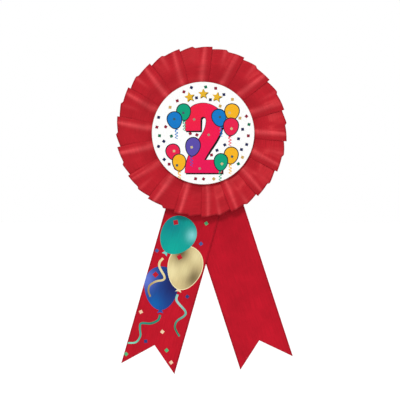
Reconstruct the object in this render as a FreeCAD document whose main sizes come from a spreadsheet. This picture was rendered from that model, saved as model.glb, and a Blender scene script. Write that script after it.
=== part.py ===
import FreeCAD, Part
import math
import os
import Sketcher

# An award ribbon, or rosette, worn on clothing: a round printed card in a pleated satin frill,
# with two swallow-tailed ribbons below it and a brooch pin with a turning safety catch behind it.
#
# Frame: +Z up, +X to the right of someone who reads the badge, -Y towards that reader.
# The origin is the middle of the pin stem, where the wearer's cloth sits.
# Everything is stacked along Y, from the pin (back) to the printed label (front).

# cosine of the angle to an axis above which an edge counts as running along it
ALONG = 0.9

# alias, value in millimetres or degrees, what it is
DRIVING = [
    ("centre_drop", 8.0, "rosette centre below the pin stem"),
    ("ribbon_width", 25.4, "one-inch satin ribbon, for the frill and both tails"),
    ("ribbon_thick", 0.3, "thickness of the satin ribbon"),
    ("slip", 0.05, "air between two layers that only lie on each other"),
    ("overrun", 1.0, "how far a cutting tool runs past the faces that it cuts through"),
    ("face_radius", 24.0, "printed disc"),
    ("face_thick", 1.2, "greyboard under the label"),
    ("label_thick", 0.2, "printed paper label"),
    ("label_inset", 0.1, "card showing round the label"),
    ("pad_radius", 8.0, "foam dot that holds the face card"),
    ("base_radius", 22.0, "card that the frill and tails are fixed to"),
    ("base_thick", 1.0, "its thickness"),
    ("cover_radius", 18.0, "card that covers the staples at the back"),
    ("cover_thick", 0.8, "its thickness"),
    ("glue_thick", 0.3, "hot-melt glue under the frill"),
    ("glue_inner", 17.0, "inner radius of that glue"),
    ("glue_outer", 20.5, "outer radius of that glue"),
    ("cover_glue_inner", 14.2, "inner radius of the glue under the cover card"),
    ("cover_glue_outer", 17.2, "outer radius of the glue under the cover card"),
    ("staple_room", 0.5, "gap behind the tails that holds the staple crowns"),
    ("frill_radius", 40.1, "outer edge of the frill, at the middle of a pleat"),
    ("rim_inset", 1.0, "how far the ring under the pleats stops short of that edge"),
    ("frill_shift_x", -1.0, "the frill sits a little off the printed disc's centre"),
    ("frill_shift_z", 0.7, "the same, upwards"),
    ("frill_sewn", 1.6, "frill thickness where it is sewn"),
    ("frill_clamped", 2.4, "frill thickness under the face card"),
    ("frill_loose", 3.0, "frill thickness outside the face card, without the pleat humps"),
    ("sewn_width", 3.4, "width of the sewn inner margin"),
    ("pleat_count", 17.0, "knife pleats round the frill"),
    ("pleat_rise", 1.9, "height of a pleat's hump"),
    ("pleat_apex", 0.3, "place of the hump across a pleat, as a share of it"),
    ("pleat_share", 0.95, "how much of its share of the ring a hump takes"),
    ("loose_start", 25.8, "radius where the frill rises outside the face card"),
    ("hump_start", 26.2, "radius where the pleat humps begin"),
    ("hump_end", 39.4, "radius where they end"),
    ("pleat_root", 0.5, "how deep a hump is let into the ring"),
    ("sag_start", 24.0, "radius where the frill's back drops, outside the base card"),
    ("frill_sag", 0.5, "that drop"),
    ("thread_radius", 0.15, "sewing thread"),
    ("thread_circle", 16.4, "radius of the seam"),
    ("tail_cross", 17.9, "tails cross this far below the rosette centre"),
    ("tail_shift", 0.6, "and this far to its right"),
    ("tail_hold", 12.9, "tail above the crossing, held under the staples"),
    ("left_splay", 16.0, "left tail's lean"),
    ("right_splay", 18.0, "right tail's lean"),
    ("left_outer_tip", 97.3, "left tail's outer tip, from the crossing"),
    ("left_inner_tip", 95.3, "left tail's inner tip"),
    ("left_notch", 84.8, "left tail's notch"),
    ("right_inner_tip", 93.8, "right tail's inner tip"),
    ("right_outer_tip", 95.4, "right tail's outer tip"),
    ("right_notch", 83.4, "right tail's notch"),
    ("flap_line", 46.0, "fold line across each tail, from the crossing"),
    ("flap_gap", 0.3, "gap above that fold line"),
    ("staple_half", 6.0, "half the staple's crown"),
    ("staple_wire", 0.4, "staple wire, front to back"),
    ("staple_wide", 0.5, "staple wire, across"),
    ("staple_clinch", 2.8, "length of each bent-over leg"),
    ("staple_high", 8.0, "upper staple below the rosette centre"),
    ("staple_low", 11.5, "lower staple below the rosette centre"),
    ("stem_lift", 1.9, "stem's axis above the pin bar"),
    ("stem_radius", 0.4, "pin stem wire"),
    ("stem_half", 10.4, "half the stem's round stretch"),
    ("point_length", 4.0, "tapered point"),
    ("point_radius", 0.05, "its tip"),
    ("pivot_x", 11.5, "rivet's axis"),
    ("eye_radius", 1.1, "stem's eye, outside"),
    ("eye_bore", 0.54, "stem's eye, inside"),
    ("eye_half", 1.1, "half the eye's width along the rivet"),
    ("rivet_radius", 0.5, "hinge rivet"),
    ("rivet_head", 0.85, "rivet head's radius"),
    ("rivet_head_thick", 0.35, "rivet head's thickness"),
    ("bar_left", 14.3, "pin bar's end at the catch"),
    ("bar_right", 13.6, "pin bar's end at the hinge"),
    ("bar_half", 2.5, "half the pin bar's width"),
    ("bar_corner", 2.0, "its corner radius"),
    ("bar_thick", 0.5, "pressed steel of the pin bar"),
    ("bar_hole", 1.0, "radius of the bar's two sewing holes"),
    ("bar_hole_x", 5.5, "their distance from the middle"),
    ("ear_inner", 1.3, "ear's inner face from the middle plane"),
    ("ear_thick", 0.5, "ear's thickness"),
    ("ear_radius", 1.25, "ear's rounded end"),
    ("tape_half_x", 13.2, "half the foam tape's length"),
    ("tape_half_z", 2.2, "half the foam tape's width"),
    ("tape_thick", 0.8, "foam tape under the pin bar"),
    ("cradle_near", 11.5, "cradle's end nearer the hinge"),
    ("cradle_far", 14.2, "cradle's outer end"),
    ("cradle_bore", 1.05, "cradle, inside"),
    ("cradle_radius", 1.5, "cradle, outside"),
    ("cradle_mouth", 90.0, "cradle's mouth"),
    ("neck_half", 0.6, "half the cradle's neck"),
    ("catch_bore", 0.6, "turning catch, inside"),
    ("catch_radius", 0.95, "turning catch, outside"),
    ("catch_mouth", 100.0, "turning catch's mouth"),
    ("collar_radius", 1.35, "collars that keep the catch in its cradle"),
    ("collar_thick", 0.4, "inner collar"),
    ("collar_gap", 0.2, "play between a collar and the cradle"),
    ("hub_thick", 0.8, "outer collar, which carries the thumb tab"),
    ("tab_reach", 2.4, "thumb tab's tip from the catch's axis"),
    ("tab_half", 0.6, "half the thumb tab's thickness"),
]

# Places along Y, as expressions: each layer lies in front of (further along -Y than) the last.
BAR_BACK = "-dims.stem_lift"
BAR_FRONT = f"({BAR_BACK} - dims.bar_thick)"
COVER_BACK = f"({BAR_FRONT} - dims.tape_thick)"
COVER_FRONT = f"({COVER_BACK} - dims.cover_thick)"
RIGHT_TAIL_BACK = f"({COVER_FRONT} - dims.staple_room)"
LEFT_TAIL_BACK = f"({RIGHT_TAIL_BACK} - dims.ribbon_thick - dims.slip)"
BASE_BACK = f"({LEFT_TAIL_BACK} - dims.ribbon_thick - dims.slip)"
BASE_FRONT = f"({BASE_BACK} - dims.base_thick)"
FRILL_BACK = f"({BASE_FRONT} - dims.glue_thick)"
FACE_BACK = f"({FRILL_BACK} - dims.frill_clamped)"
FACE_FRONT = f"({FACE_BACK} - dims.face_thick)"
ROSETTE_Z = "-dims.centre_drop"
CROSSING_Z = "(-dims.centre_drop - dims.tail_cross)"

doc = FreeCAD.newDocument("award_ribbon")


def make_sheet():
    """The driving dimensions, one aliased cell each."""
    sheet = doc.addObject("Spreadsheet::Sheet", "dims")
    for row, (alias, value, meaning) in enumerate(DRIVING, start=1):
        sheet.set(f"A{row}", meaning)
        sheet.set(f"B{row}", str(value))
        sheet.setAlias(f"B{row}", alias)
    doc.recompute()
    return sheet


def value_of(expression):
    """What an expression comes to now, for a sketch's first guess."""
    return float(sheet.evalExpression(expression))


def bind(thing, **expressions):
    for name, expression in expressions.items():
        thing.setExpression(name, expression)


def place(thing, x="0", y="0", z="0", axis=(0, 0, 1), turn="0"):
    """Puts a body or primitive at x, y, z, turned about axis, all by expressions."""
    start = FreeCAD.Rotation(FreeCAD.Vector(*axis), value_of(turn))
    thing.Placement = FreeCAD.Placement(FreeCAD.Vector(), start)
    bind(thing, **{"Placement.Base.x": x, "Placement.Base.y": y, "Placement.Base.z": z})


# ---- Part primitives and booleans -------------------------------------------------------------


def box(name, x, y, z):
    """A block between pairs of expressions along each axis."""
    block = doc.addObject("Part::Box", name)
    bind(block, Length=f"({x[1]}) - ({x[0]})", Width=f"({y[1]}) - ({y[0]})", Height=f"({z[1]}) - ({z[0]})")
    place(block, x[0], y[0], z[0])
    return block


def rod_along_x(name, radius, start, end, mouth=None):
    """A cylinder on the stem's axis, or a pie slice of one that opens backwards, along +Y."""
    rod = doc.addObject("Part::Cylinder", name)
    bind(rod, Radius=radius, Height=f"({end}) - ({start})")
    place(rod, x=start, axis=(0, 1, 0), turn="90")
    if mouth:
        bind(rod, Angle=mouth)
        lay_down = FreeCAD.Rotation(FreeCAD.Vector(0, 1, 0), 90)
        centre_on_back = FreeCAD.Rotation(FreeCAD.Vector(0, 0, 1), 90 - value_of(mouth) / 2)
        rod.Placement.Rotation = lay_down * centre_on_back
    return rod


def rod_along_z(name, radius, half):
    """A cylinder on the rivet's axis, centred on the stem."""
    rod = doc.addObject("Part::Cylinder", name)
    bind(rod, Radius=radius, Height=f"2 * ({half})")
    place(rod, x="dims.pivot_x", z=f"-({half})")
    return rod


def fuse(name, *things):
    joined = doc.addObject("Part::MultiFuse", name)
    joined.Shapes = list(things)
    return joined


def cut(name, base, tool):
    left = doc.addObject("Part::Cut", name)
    left.Base, left.Tool = base, tool
    return left


# ---- PartDesign bodies ------------------------------------------------------------------------


def new_body(name):
    return doc.addObject("PartDesign::Body", name)


def new_sketch(body, name, role="XZ_Plane"):
    sketch = body.newObject("Sketcher::SketchObject", name)
    plane = next(f for f in body.Origin.OriginFeatures if f.Role == role)
    sketch.AttachmentSupport = (plane, "")
    sketch.MapMode = "FlatFace"
    return sketch


def pin_point(sketch, element, corner, label, across, up):
    """Holds one point of a sketch at two expressions."""
    for kind, tag, expression in (("DistanceX", "x", across), ("DistanceY", "y", up)):
        rule = Sketcher.Constraint(kind, -1, 1, element, corner, value_of(expression))
        index = sketch.addConstraint(rule)
        sketch.renameConstraint(index, f"{label}_{tag}")
        sketch.setExpression(f"Constraints.{label}_{tag}", expression)


def draw_polygon(sketch, points):
    """A closed outline whose corners are pairs of expressions."""
    corners = [FreeCAD.Vector(value_of(across), value_of(up), 0) for across, up in points]
    count = len(corners)
    for i in range(count):
        sketch.addGeometry(Part.LineSegment(corners[i], corners[(i + 1) % count]))
    for i in range(count):
        sketch.addConstraint(Sketcher.Constraint("Coincident", i, 2, (i + 1) % count, 1))
    for i, (across, up) in enumerate(points):
        pin_point(sketch, i, 1, f"corner_{i}", across, up)


def draw_circle(sketch, radius, label):
    """A circle about the sketch's origin."""
    circle = Part.Circle(FreeCAD.Vector(), FreeCAD.Vector(0, 0, 1), value_of(radius))
    element = sketch.addGeometry(circle)
    sketch.addConstraint(Sketcher.Constraint("Coincident", element, 3, -1, 1))
    index = sketch.addConstraint(Sketcher.Constraint("Radius", element, value_of(radius)))
    sketch.renameConstraint(index, label)
    sketch.setExpression(f"Constraints.{label}", radius)


def pad(body, sketch, length):
    """Raises a sketch on the XZ plane forwards, towards the reader."""
    feature = body.newObject("PartDesign::Pad", f"{body.Name}_pad")
    feature.Profile = sketch
    bind(feature, Length=length)
    return feature


def disc(name, outer, back, thick, inner=None):
    """A round card, pad or ring about the rosette's axis, whose back face is at back."""
    body = new_body(name)
    sketch = new_sketch(body, f"{name}_outline")
    draw_circle(sketch, outer, "outer_radius")
    if inner:
        draw_circle(sketch, inner, "inner_radius")
    pad(body, sketch, thick)
    place(body, y=back, z=ROSETTE_Z)
    return body


def strip(name, points, back, turn):
    """A flat length of ribbon that leans about the tails' crossing."""
    body = new_body(name)
    sketch = new_sketch(body, f"{name}_outline")
    draw_polygon(sketch, points)
    pad(body, sketch, "dims.ribbon_thick")
    place(body, "dims.tail_shift", back, CROSSING_Z, axis=(0, 1, 0), turn=turn)
    return body


# ---- the rosette ------------------------------------------------------------------------------


def make_front():
    """Label, face card and the foam dot that holds them through the frill's hole."""
    label = disc("label", "dims.face_radius - dims.label_inset", FACE_FRONT, "dims.label_thick")
    card = disc("face_card", "dims.face_radius", FACE_BACK, "dims.face_thick")
    dot = disc("face_pad", "dims.pad_radius", BASE_FRONT, "dims.glue_thick + dims.frill_clamped")
    return [label, card, dot]


def make_frill():
    """The pleated ribbon: a turned ring, thin where it is sewn, with a ring of raised pleats on it."""
    body = new_body("frill")
    hole = "(dims.frill_radius - dims.ribbon_width)"
    rim = "(dims.frill_radius - dims.rim_inset)"
    # the body's own origin is on the frill's back face, and a sketch on XY looks along the rosette
    profile = new_sketch(body, "frill_profile", "XY_Plane")
    draw_polygon(
        profile,
        [
            (hole, "0"),
            ("dims.sag_start", "0"),
            ("dims.sag_start", "dims.frill_sag"),
            (rim, "dims.frill_sag"),
            (rim, "-dims.frill_loose"),
            ("dims.loose_start", "-dims.frill_loose"),
            ("dims.loose_start", "-dims.frill_clamped"),
            (f"{hole} + dims.sewn_width", "-dims.frill_clamped"),
            (f"{hole} + dims.sewn_width", "-dims.frill_sewn"),
            (hole, "-dims.frill_sewn"),
        ],
    )
    ring = body.newObject("PartDesign::Revolution", "frill_ring")
    ring.Profile = profile
    ring.ReferenceAxis = (profile, ["V_Axis"])
    ring.Angle = 360
    doc.recompute()

    ends = []
    foot = "-dims.frill_loose + dims.pleat_root"
    for tag, radius in (("inner", "dims.hump_start"), ("outer", "dims.hump_end")):
        half = f"{radius} * tan(180 / dims.pleat_count) * dims.pleat_share"
        end = new_sketch(body, f"pleat_{tag}", "YZ_Plane")
        bind(end, **{"AttachmentOffset.Base.z": radius})
        draw_polygon(
            end,
            [
                (foot, f"-{half}"),
                (foot, half),
                ("-dims.frill_loose - dims.pleat_rise", f"{half} * (1 - 2 * dims.pleat_apex)"),
                ("-dims.frill_loose", f"-{half}"),
            ],
        )
        ends.append(end)
    hump = body.newObject("PartDesign::AdditiveLoft", "pleat_hump")
    hump.Profile = ends[0]
    hump.Sections = [ends[1]]
    hump.Ruled = True
    doc.recompute()

    humps = body.newObject("PartDesign::PolarPattern", "pleat_ring")
    humps.Originals = [hump]
    humps.Axis = (profile, ["V_Axis"])
    humps.Angle = 360
    bind(humps, Occurrences="dims.pleat_count")
    body.Tip = humps
    place(body, x="dims.frill_shift_x", y=FRILL_BACK, z=f"{ROSETTE_Z} + dims.frill_shift_z")
    return body


def make_frill_fixings():
    """The seam that holds the pleats, and the hot-melt ring under them."""
    seam = doc.addObject("Part::Torus", "frill_thread")
    bind(seam, Radius1="dims.thread_circle", Radius2="dims.thread_radius")
    seam_y = f"{FRILL_BACK} - dims.frill_sewn - dims.thread_radius"
    place(
        seam,
        "dims.frill_shift_x",
        seam_y,
        f"{ROSETTE_Z} + dims.frill_shift_z",
        axis=(1, 0, 0),
        turn="90",
    )
    glue = disc("frill_glue", "dims.glue_outer", BASE_FRONT, "dims.glue_thick", "dims.glue_inner")
    return [seam, glue]


# ---- tails, staples and cards at the back ------------------------------------------------------


def staple(tag, drop):
    """One staple: crown behind the tails, legs through to the front of the base card, bent inwards."""
    middle = f"(-dims.centre_drop - {drop})"
    high = (f"{middle} - dims.staple_wide / 2", f"{middle} + dims.staple_wide / 2")
    crown_y = (RIGHT_TAIL_BACK, f"{RIGHT_TAIL_BACK} + dims.staple_wire")
    clinch_y = (f"{BASE_FRONT} - dims.staple_wire", BASE_FRONT)
    half = "dims.staple_half"
    inner = f"({half} - dims.staple_wire)"
    pieces = [box(f"crown_{tag}", (f"-{half}", half), crown_y, high)]
    for side, sign in (("left", "-"), ("right", "")):
        near, far = sorted([f"{sign}{inner}", f"{sign}{half}"], key=value_of)
        pieces.append(box(f"leg_{tag}_{side}", (near, far), (clinch_y[0], crown_y[1]), high))
        tip = f"{sign}({half} - dims.staple_clinch)"
        near, far = sorted([tip, f"{sign}{half}"], key=value_of)
        pieces.append(box(f"clinch_{tag}_{side}", (near, far), clinch_y, high))
    return fuse(f"staple_{tag}", *pieces)


def make_staples():
    pair = doc.addObject("Part::Compound", "tail_staples")
    pair.Links = [staple("upper", "dims.staple_high"), staple("lower", "dims.staple_low")]
    return pair


def make_tail(side, back, turn, left_tip, notch, right_tip, staples):
    """One ribbon in two lengths that meet at its fold line: the held one is pierced by the staples."""
    half = "dims.ribbon_width / 2"
    fold = "-dims.flap_line"
    held = strip(
        f"{side}_tail_held",
        [
            (f"-{half}", f"{fold} + dims.flap_gap"),
            (half, f"{fold} + dims.flap_gap"),
            (half, "dims.tail_hold"),
            (f"-{half}", "dims.tail_hold"),
        ],
        back,
        turn,
    )
    upper = cut(f"{side}_tail_upper", held, staples)

    swallow = [
        (f"-{half}", fold),
        (f"-{half}", f"-{left_tip}"),
        ("0", f"-{notch}"),
        (half, f"-{right_tip}"),
        (half, fold),
    ]
    blade = strip(f"{side}_tail_blade", swallow, back, turn)
    # a rounded top edge, on the fold line itself, so that the ribbon can turn about it
    lean = FreeCAD.Rotation(FreeCAD.Vector(0, 1, 0), value_of(turn))
    bead = doc.addObject("Part::Cylinder", f"{side}_tail_fold")
    bind(bead, Radius="dims.ribbon_thick / 2", Height="dims.ribbon_width")
    bead.Placement.Rotation = lean * FreeCAD.Rotation(FreeCAD.Vector(0, 1, 0), 90)
    across, down = f"(-{half})", "(-dims.flap_line)"
    bind(
        bead,
        **{
            "Placement.Base.x": f"dims.tail_shift + {across} * cos({turn}) + {down} * sin({turn})",
            "Placement.Base.y": f"{back} - dims.ribbon_thick / 2",
            "Placement.Base.z": f"{CROSSING_Z} - {across} * sin({turn}) + {down} * cos({turn})",
        },
    )
    lower = fuse(f"{side}_tail_lower", blade, bead)
    return [upper, lower]


def make_back(staples, held_tails):
    """Base card, cover card, and the glue between them, which fills in round the tails."""
    base = cut(
        "base_card", disc("base_blank", "dims.base_radius", BASE_BACK, "dims.base_thick"), staples
    )
    cover = disc("cover_card", "dims.cover_radius", COVER_BACK, "dims.cover_thick")
    filling = disc(
        "filling",
        "dims.cover_glue_outer",
        COVER_FRONT,
        f"{COVER_FRONT} - {BASE_BACK}",
        "dims.cover_glue_inner",
    )
    glue = cut("cover_glue", filling, fuse("tails_in_glue", *held_tails))
    return [base, cover, glue]


# ---- the brooch pin ----------------------------------------------------------------------------


def make_pin_bar():
    """Pressed steel bar with two ears for the rivet and a cradle for the turning catch."""
    plate = box(
        "bar_plate",
        ("-dims.bar_left", "dims.bar_right"),
        (BAR_FRONT, BAR_BACK),
        ("-dims.bar_half", "dims.bar_half"),
    )
    rounded = doc.addObject("Part::Fillet", "bar_rounded")
    rounded.Base = plate
    doc.recompute()
    corners = [
        (number, value_of("dims.bar_corner"), value_of("dims.bar_corner"))
        for number, edge in enumerate(plate.Shape.Edges, start=1)
        if abs(edge.tangentAt(edge.FirstParameter).y) > ALONG
    ]
    rounded.Edges = corners
    pieces = [rounded]
    into_bar = f"{BAR_BACK} - dims.bar_thick / 2"
    for tag, low, high in (
        ("upper", "dims.ear_inner", "dims.ear_inner + dims.ear_thick"),
        ("lower", "-dims.ear_inner - dims.ear_thick", "-dims.ear_inner"),
    ):
        sides = ("dims.pivot_x - dims.ear_radius", "dims.pivot_x + dims.ear_radius")
        pieces.append(box(f"ear_{tag}_leg", sides, (into_bar, "0"), (low, high)))
        tip = doc.addObject("Part::Cylinder", f"ear_{tag}_tip")
        bind(tip, Radius="dims.ear_radius", Height="dims.ear_thick")
        place(tip, x="dims.pivot_x", z=low)
        pieces.append(tip)
    ring = rod_along_x("cradle_ring", "dims.cradle_radius", "-dims.cradle_far", "-dims.cradle_near")
    neck = box(
        "cradle_neck",
        ("-dims.cradle_far", "-dims.cradle_near"),
        (into_bar, "-dims.cradle_bore"),
        ("-dims.neck_half", "dims.neck_half"),
    )
    pieces += [ring, neck]
    solid = fuse("bar_solid", *pieces)

    ears = "dims.ear_inner + dims.ear_thick + dims.overrun"
    beyond = "-dims.cradle_far - dims.overrun"
    within = "-dims.cradle_near + dims.overrun"
    wide = "dims.cradle_radius + dims.overrun"
    openings = [
        rod_along_z("rivet_hole", "dims.rivet_radius", ears),
        rod_along_x("cradle_hole", "dims.cradle_bore", beyond, within),
        rod_along_x("cradle_opening", wide, beyond, within, "dims.cradle_mouth"),
    ]
    for tag, x in (("left", "-dims.bar_hole_x"), ("right", "dims.bar_hole_x")):
        hole = doc.addObject("Part::Cylinder", f"sewing_hole_{tag}")
        bind(hole, Radius="dims.bar_hole", Height="dims.bar_thick + 2 * dims.overrun")
        place(hole, x, f"{BAR_BACK} + dims.overrun", "0", axis=(1, 0, 0), turn="90")
        openings.append(hole)
    return cut("pin_bar", solid, fuse("bar_openings", *openings))


def make_pin_tape():
    return box(
        "pin_tape",
        ("-dims.tape_half_x", "dims.tape_half_x"),
        (COVER_BACK, BAR_FRONT),
        ("-dims.tape_half_z", "dims.tape_half_z"),
    )


def make_rivet():
    """A rivet turned about its own axis: shank, and a head at each end."""
    body = new_body("pin_rivet")
    profile = new_sketch(body, "rivet_profile", "XZ_Plane")
    shank = "(dims.ear_inner + dims.ear_thick)"
    end = f"({shank} + dims.rivet_head_thick)"
    draw_polygon(
        profile,
        [
            ("0", f"-{end}"),
            ("dims.rivet_head", f"-{end}"),
            ("dims.rivet_head", f"-{shank}"),
            ("dims.rivet_radius", f"-{shank}"),
            ("dims.rivet_radius", shank),
            ("dims.rivet_head", shank),
            ("dims.rivet_head", end),
            ("0", end),
        ],
    )
    turned = body.newObject("PartDesign::Revolution", "rivet_turned")
    turned.Profile = profile
    turned.ReferenceAxis = (profile, ["V_Axis"])
    turned.Angle = 360
    place(body, x="dims.pivot_x")
    return body


def make_stem():
    """Sprung steel wire: an eye at the rivet, a round stretch and a ground point."""
    eye = rod_along_z("stem_eye", "dims.eye_radius", "dims.eye_half")
    wire = rod_along_x("stem_wire", "dims.stem_radius", "-dims.stem_half", "dims.pivot_x")
    point = doc.addObject("Part::Cone", "stem_point")
    bind(
        point,
        Radius1="dims.point_radius",
        Radius2="dims.stem_radius",
        Height="dims.point_length",
    )
    place(point, x="-dims.stem_half - dims.point_length", axis=(0, 1, 0), turn="90")
    bore = rod_along_z("stem_eye_bore", "dims.eye_bore", "dims.eye_half + dims.overrun")
    return cut("pin_stem", fuse("stem_solid", eye, wire, point), bore)


def make_catch():
    """A slotted tube that turns in the cradle, with a collar at each end and a thumb tab."""
    near = "(-dims.cradle_near + dims.collar_gap)"
    far = "(-dims.cradle_far - dims.collar_gap)"
    end = f"({far} - dims.hub_thick)"
    pieces = [
        rod_along_x("catch_tube", "dims.catch_radius", end, near),
        rod_along_x("catch_collar", "dims.collar_radius", near, f"{near} + dims.collar_thick"),
        rod_along_x("catch_hub", "dims.collar_radius", end, far),
        box(
            "catch_tab",
            (end, far),
            ("-dims.tab_half", "dims.tab_half"),
            ("dims.catch_radius", "dims.tab_reach"),
        ),
    ]
    beyond = f"{end} - dims.overrun"
    within = f"{near} + dims.overrun"
    hollow = [
        rod_along_x("catch_hole", "dims.catch_bore", beyond, within),
        rod_along_x("catch_slot", "dims.tab_reach", beyond, within, "dims.catch_mouth"),
    ]
    return cut("pin_catch", fuse("catch_solid", *pieces), fuse("catch_hollow", *hollow))


# ---- build, check and write --------------------------------------------------------------------


def check_document():
    for thing in doc.Objects:
        if {"Invalid", "Error"} & set(thing.State):
            raise RuntimeError(f"{thing.Name} failed: {thing.State}")


def check_shape(part):
    shape = part.Shape
    if shape.isNull() or not shape.isValid() or not shape.Solids:
        raise RuntimeError(f"{part.Label} has no valid solid")
    if shape.Volume <= 0:
        raise RuntimeError(f"{part.Label} has no volume")


sheet = make_sheet()
staples = make_staples()
left_tail = make_tail(
    "left",
    LEFT_TAIL_BACK,
    "dims.left_splay",
    "dims.left_outer_tip",
    "dims.left_notch",
    "dims.left_inner_tip",
    staples,
)
right_tail = make_tail(
    "right",
    RIGHT_TAIL_BACK,
    "-dims.right_splay",
    "dims.right_inner_tip",
    "dims.right_notch",
    "dims.right_outer_tip",
    staples,
)
parts = [
    *make_front(),
    make_frill(),
    *make_frill_fixings(),
    *left_tail,
    *right_tail,
    staples,
    *make_back(staples, [left_tail[0], right_tail[0]]),
    make_pin_tape(),
    make_pin_bar(),
    make_rivet(),
    make_stem(),
    make_catch(),
]
doc.recompute()
check_document()
os.makedirs("parts", exist_ok=True)
for part in parts:
    check_shape(part)
    part.Shape.exportStep(f"parts/{part.Label}.step")
    span = part.Shape.BoundBox
    print(
        f"{part.Label:18s} solids {len(part.Shape.Solids)}  volume {part.Shape.Volume:9.2f}"
        f"  x {span.XMin:7.2f} {span.XMax:7.2f}  y {span.YMin:7.2f} {span.YMax:7.2f}"
        f"  z {span.ZMin:8.2f} {span.ZMax:7.2f}"
    )
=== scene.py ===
# %% [markdown]
# # An award ribbon round its CAD frame
# The object is a party award ribbon: a printed card disc on a ring of pleated satin, with two satin
# tails below it and a brooch pin behind. The CAD frame holds the sizes and the moving parts, so this
# script starts from it and only makes the looks: cloth, print, card, foam, thread and plated steel.
# Everything is in the frame's own metres, +Z up as worn and -Y towards the person who reads it. The
# tables that draw the shapes are in millimetres, as a maker's drawing is.

# %% Load the frame
import math
import random

import bmesh
import bpy
import numpy as np
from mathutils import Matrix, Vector
from mathutils.geometry import delaunay_2d_cdt


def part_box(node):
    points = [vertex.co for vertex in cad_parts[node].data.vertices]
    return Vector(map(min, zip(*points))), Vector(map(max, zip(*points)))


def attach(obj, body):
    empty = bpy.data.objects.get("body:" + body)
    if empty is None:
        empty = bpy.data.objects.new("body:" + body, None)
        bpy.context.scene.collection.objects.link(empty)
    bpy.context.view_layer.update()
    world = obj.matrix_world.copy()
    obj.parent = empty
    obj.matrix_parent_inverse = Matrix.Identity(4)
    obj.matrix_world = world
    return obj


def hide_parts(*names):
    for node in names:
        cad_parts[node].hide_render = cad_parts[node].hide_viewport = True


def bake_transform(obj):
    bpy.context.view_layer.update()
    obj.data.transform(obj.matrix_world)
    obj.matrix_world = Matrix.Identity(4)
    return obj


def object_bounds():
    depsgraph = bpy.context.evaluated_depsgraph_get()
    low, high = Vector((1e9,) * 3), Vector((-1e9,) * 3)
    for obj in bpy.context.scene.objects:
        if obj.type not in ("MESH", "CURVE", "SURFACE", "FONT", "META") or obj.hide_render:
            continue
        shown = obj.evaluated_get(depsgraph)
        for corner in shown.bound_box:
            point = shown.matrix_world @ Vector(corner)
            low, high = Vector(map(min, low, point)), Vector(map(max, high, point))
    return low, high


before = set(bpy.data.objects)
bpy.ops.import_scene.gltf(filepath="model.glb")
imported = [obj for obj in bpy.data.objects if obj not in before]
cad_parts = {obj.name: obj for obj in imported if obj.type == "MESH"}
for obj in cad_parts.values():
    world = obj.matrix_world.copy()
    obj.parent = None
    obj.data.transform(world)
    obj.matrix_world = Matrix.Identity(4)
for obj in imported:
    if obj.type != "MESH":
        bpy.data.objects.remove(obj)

cad_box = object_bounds()
MM = 0.001
TURN = 2 * math.pi
print("CAD box, mm:", [[round(c / MM, 1) for c in corner] for corner in cad_box])

# %% [markdown]
# ## Helpers
# Node trees make both the finishes and the repeating shapes here. One small function adds any node,
# sets it up and fills its sockets, either in their order or by their names, so that a tree reads from
# top to bottom like a recipe. Colours are written as sRGB hex, which is how a printer or a cloth maker
# quotes them, and one function turns them into the linear values that a shader works with.

# %% Node, colour and mesh helpers
def add(tree, kind, sockets=(), out=0, **settings):
    """Adds a node, fills its sockets with values or links, and returns one of its outputs."""
    node = tree.nodes.new(kind)
    for name, value in settings.items():
        setattr(node, name, value)
    shown = [socket for socket in node.inputs if socket.enabled]
    pairs = sockets.items() if isinstance(sockets, dict) else enumerate(sockets)
    for key, value in pairs:
        socket = shown[key] if isinstance(key, int) else next(s for s in shown if s.name == key)
        if isinstance(value, bpy.types.NodeSocket):
            tree.links.new(value, socket)
        elif value is not None:
            socket.default_value = value
    outputs = [socket for socket in node.outputs if socket.enabled]
    if not outputs:
        return None
    return outputs[out] if isinstance(out, int) else next(s for s in outputs if s.name == out)


def linear(code):
    """An sRGB hex colour as linear red, green, blue and alpha."""
    parts = [int(code[i:i + 2], 16) / 255 for i in (1, 3, 5)]
    return [c / 12.92 if c <= 0.04045 else ((c + 0.055) / 1.055) ** 2.4 for c in parts] + [1.0]


def plain_mesh(obj):
    """Turns an object and all its modifiers into one plain mesh, with every face pointing outwards."""
    bpy.context.view_layer.update()
    made = bpy.data.meshes.new_from_object(obj.evaluated_get(bpy.context.evaluated_depsgraph_get()))
    obj.modifiers.clear()
    obj.data = made
    shell = bmesh.new()
    shell.from_mesh(made)
    bmesh.ops.recalc_face_normals(shell, faces=shell.faces)
    shell.to_mesh(made)
    shell.free()
    print(f"{obj.name}: {len(made.vertices)} points, {len(made.polygons)} faces")
    return obj


def new_object(name, mesh):
    """A mesh as an object at the origin of the frame."""
    obj = bpy.data.objects.new(name, mesh)
    bpy.context.scene.collection.objects.link(obj)
    return obj


print("mid grey #808080 as light:", round(linear("#808080")[0], 3))

# %% [markdown]
# ## Camera, floor and light
# The badge is seen square on, from far enough away that it shows no perspective, so the camera is a
# long lens at the height of the middle of the ribbon. The floor is a large sheet of white paper below
# the tails. One soft lamp stands in front, a little above the camera, and draws a bright line along
# every pleat. A wider one above lights the floor. The pale room is brightest at the horizon, where the
# floor meets it.

# %% Camera, floor and light
scene = bpy.context.scene
CAMERA_DISTANCE = 1.2
CAMERA_AIM = Vector((-0.00145, -0.0103, -0.0393))
SEEN_WIDTH = 0.1871
SENSOR = 36.0
camera = bpy.data.objects.new("camera", bpy.data.cameras.new("camera"))
camera.data.sensor_width = SENSOR
camera.data.lens = SENSOR * CAMERA_DISTANCE / SEEN_WIDTH
camera.data.clip_end = 100.0
camera.location = CAMERA_AIM - Vector((0, CAMERA_DISTANCE, 0))
camera.rotation_euler = (math.radians(90), 0, 0)
scene.collection.objects.link(camera)
scene.camera = camera
scene.view_settings.view_transform = "Standard"

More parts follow.
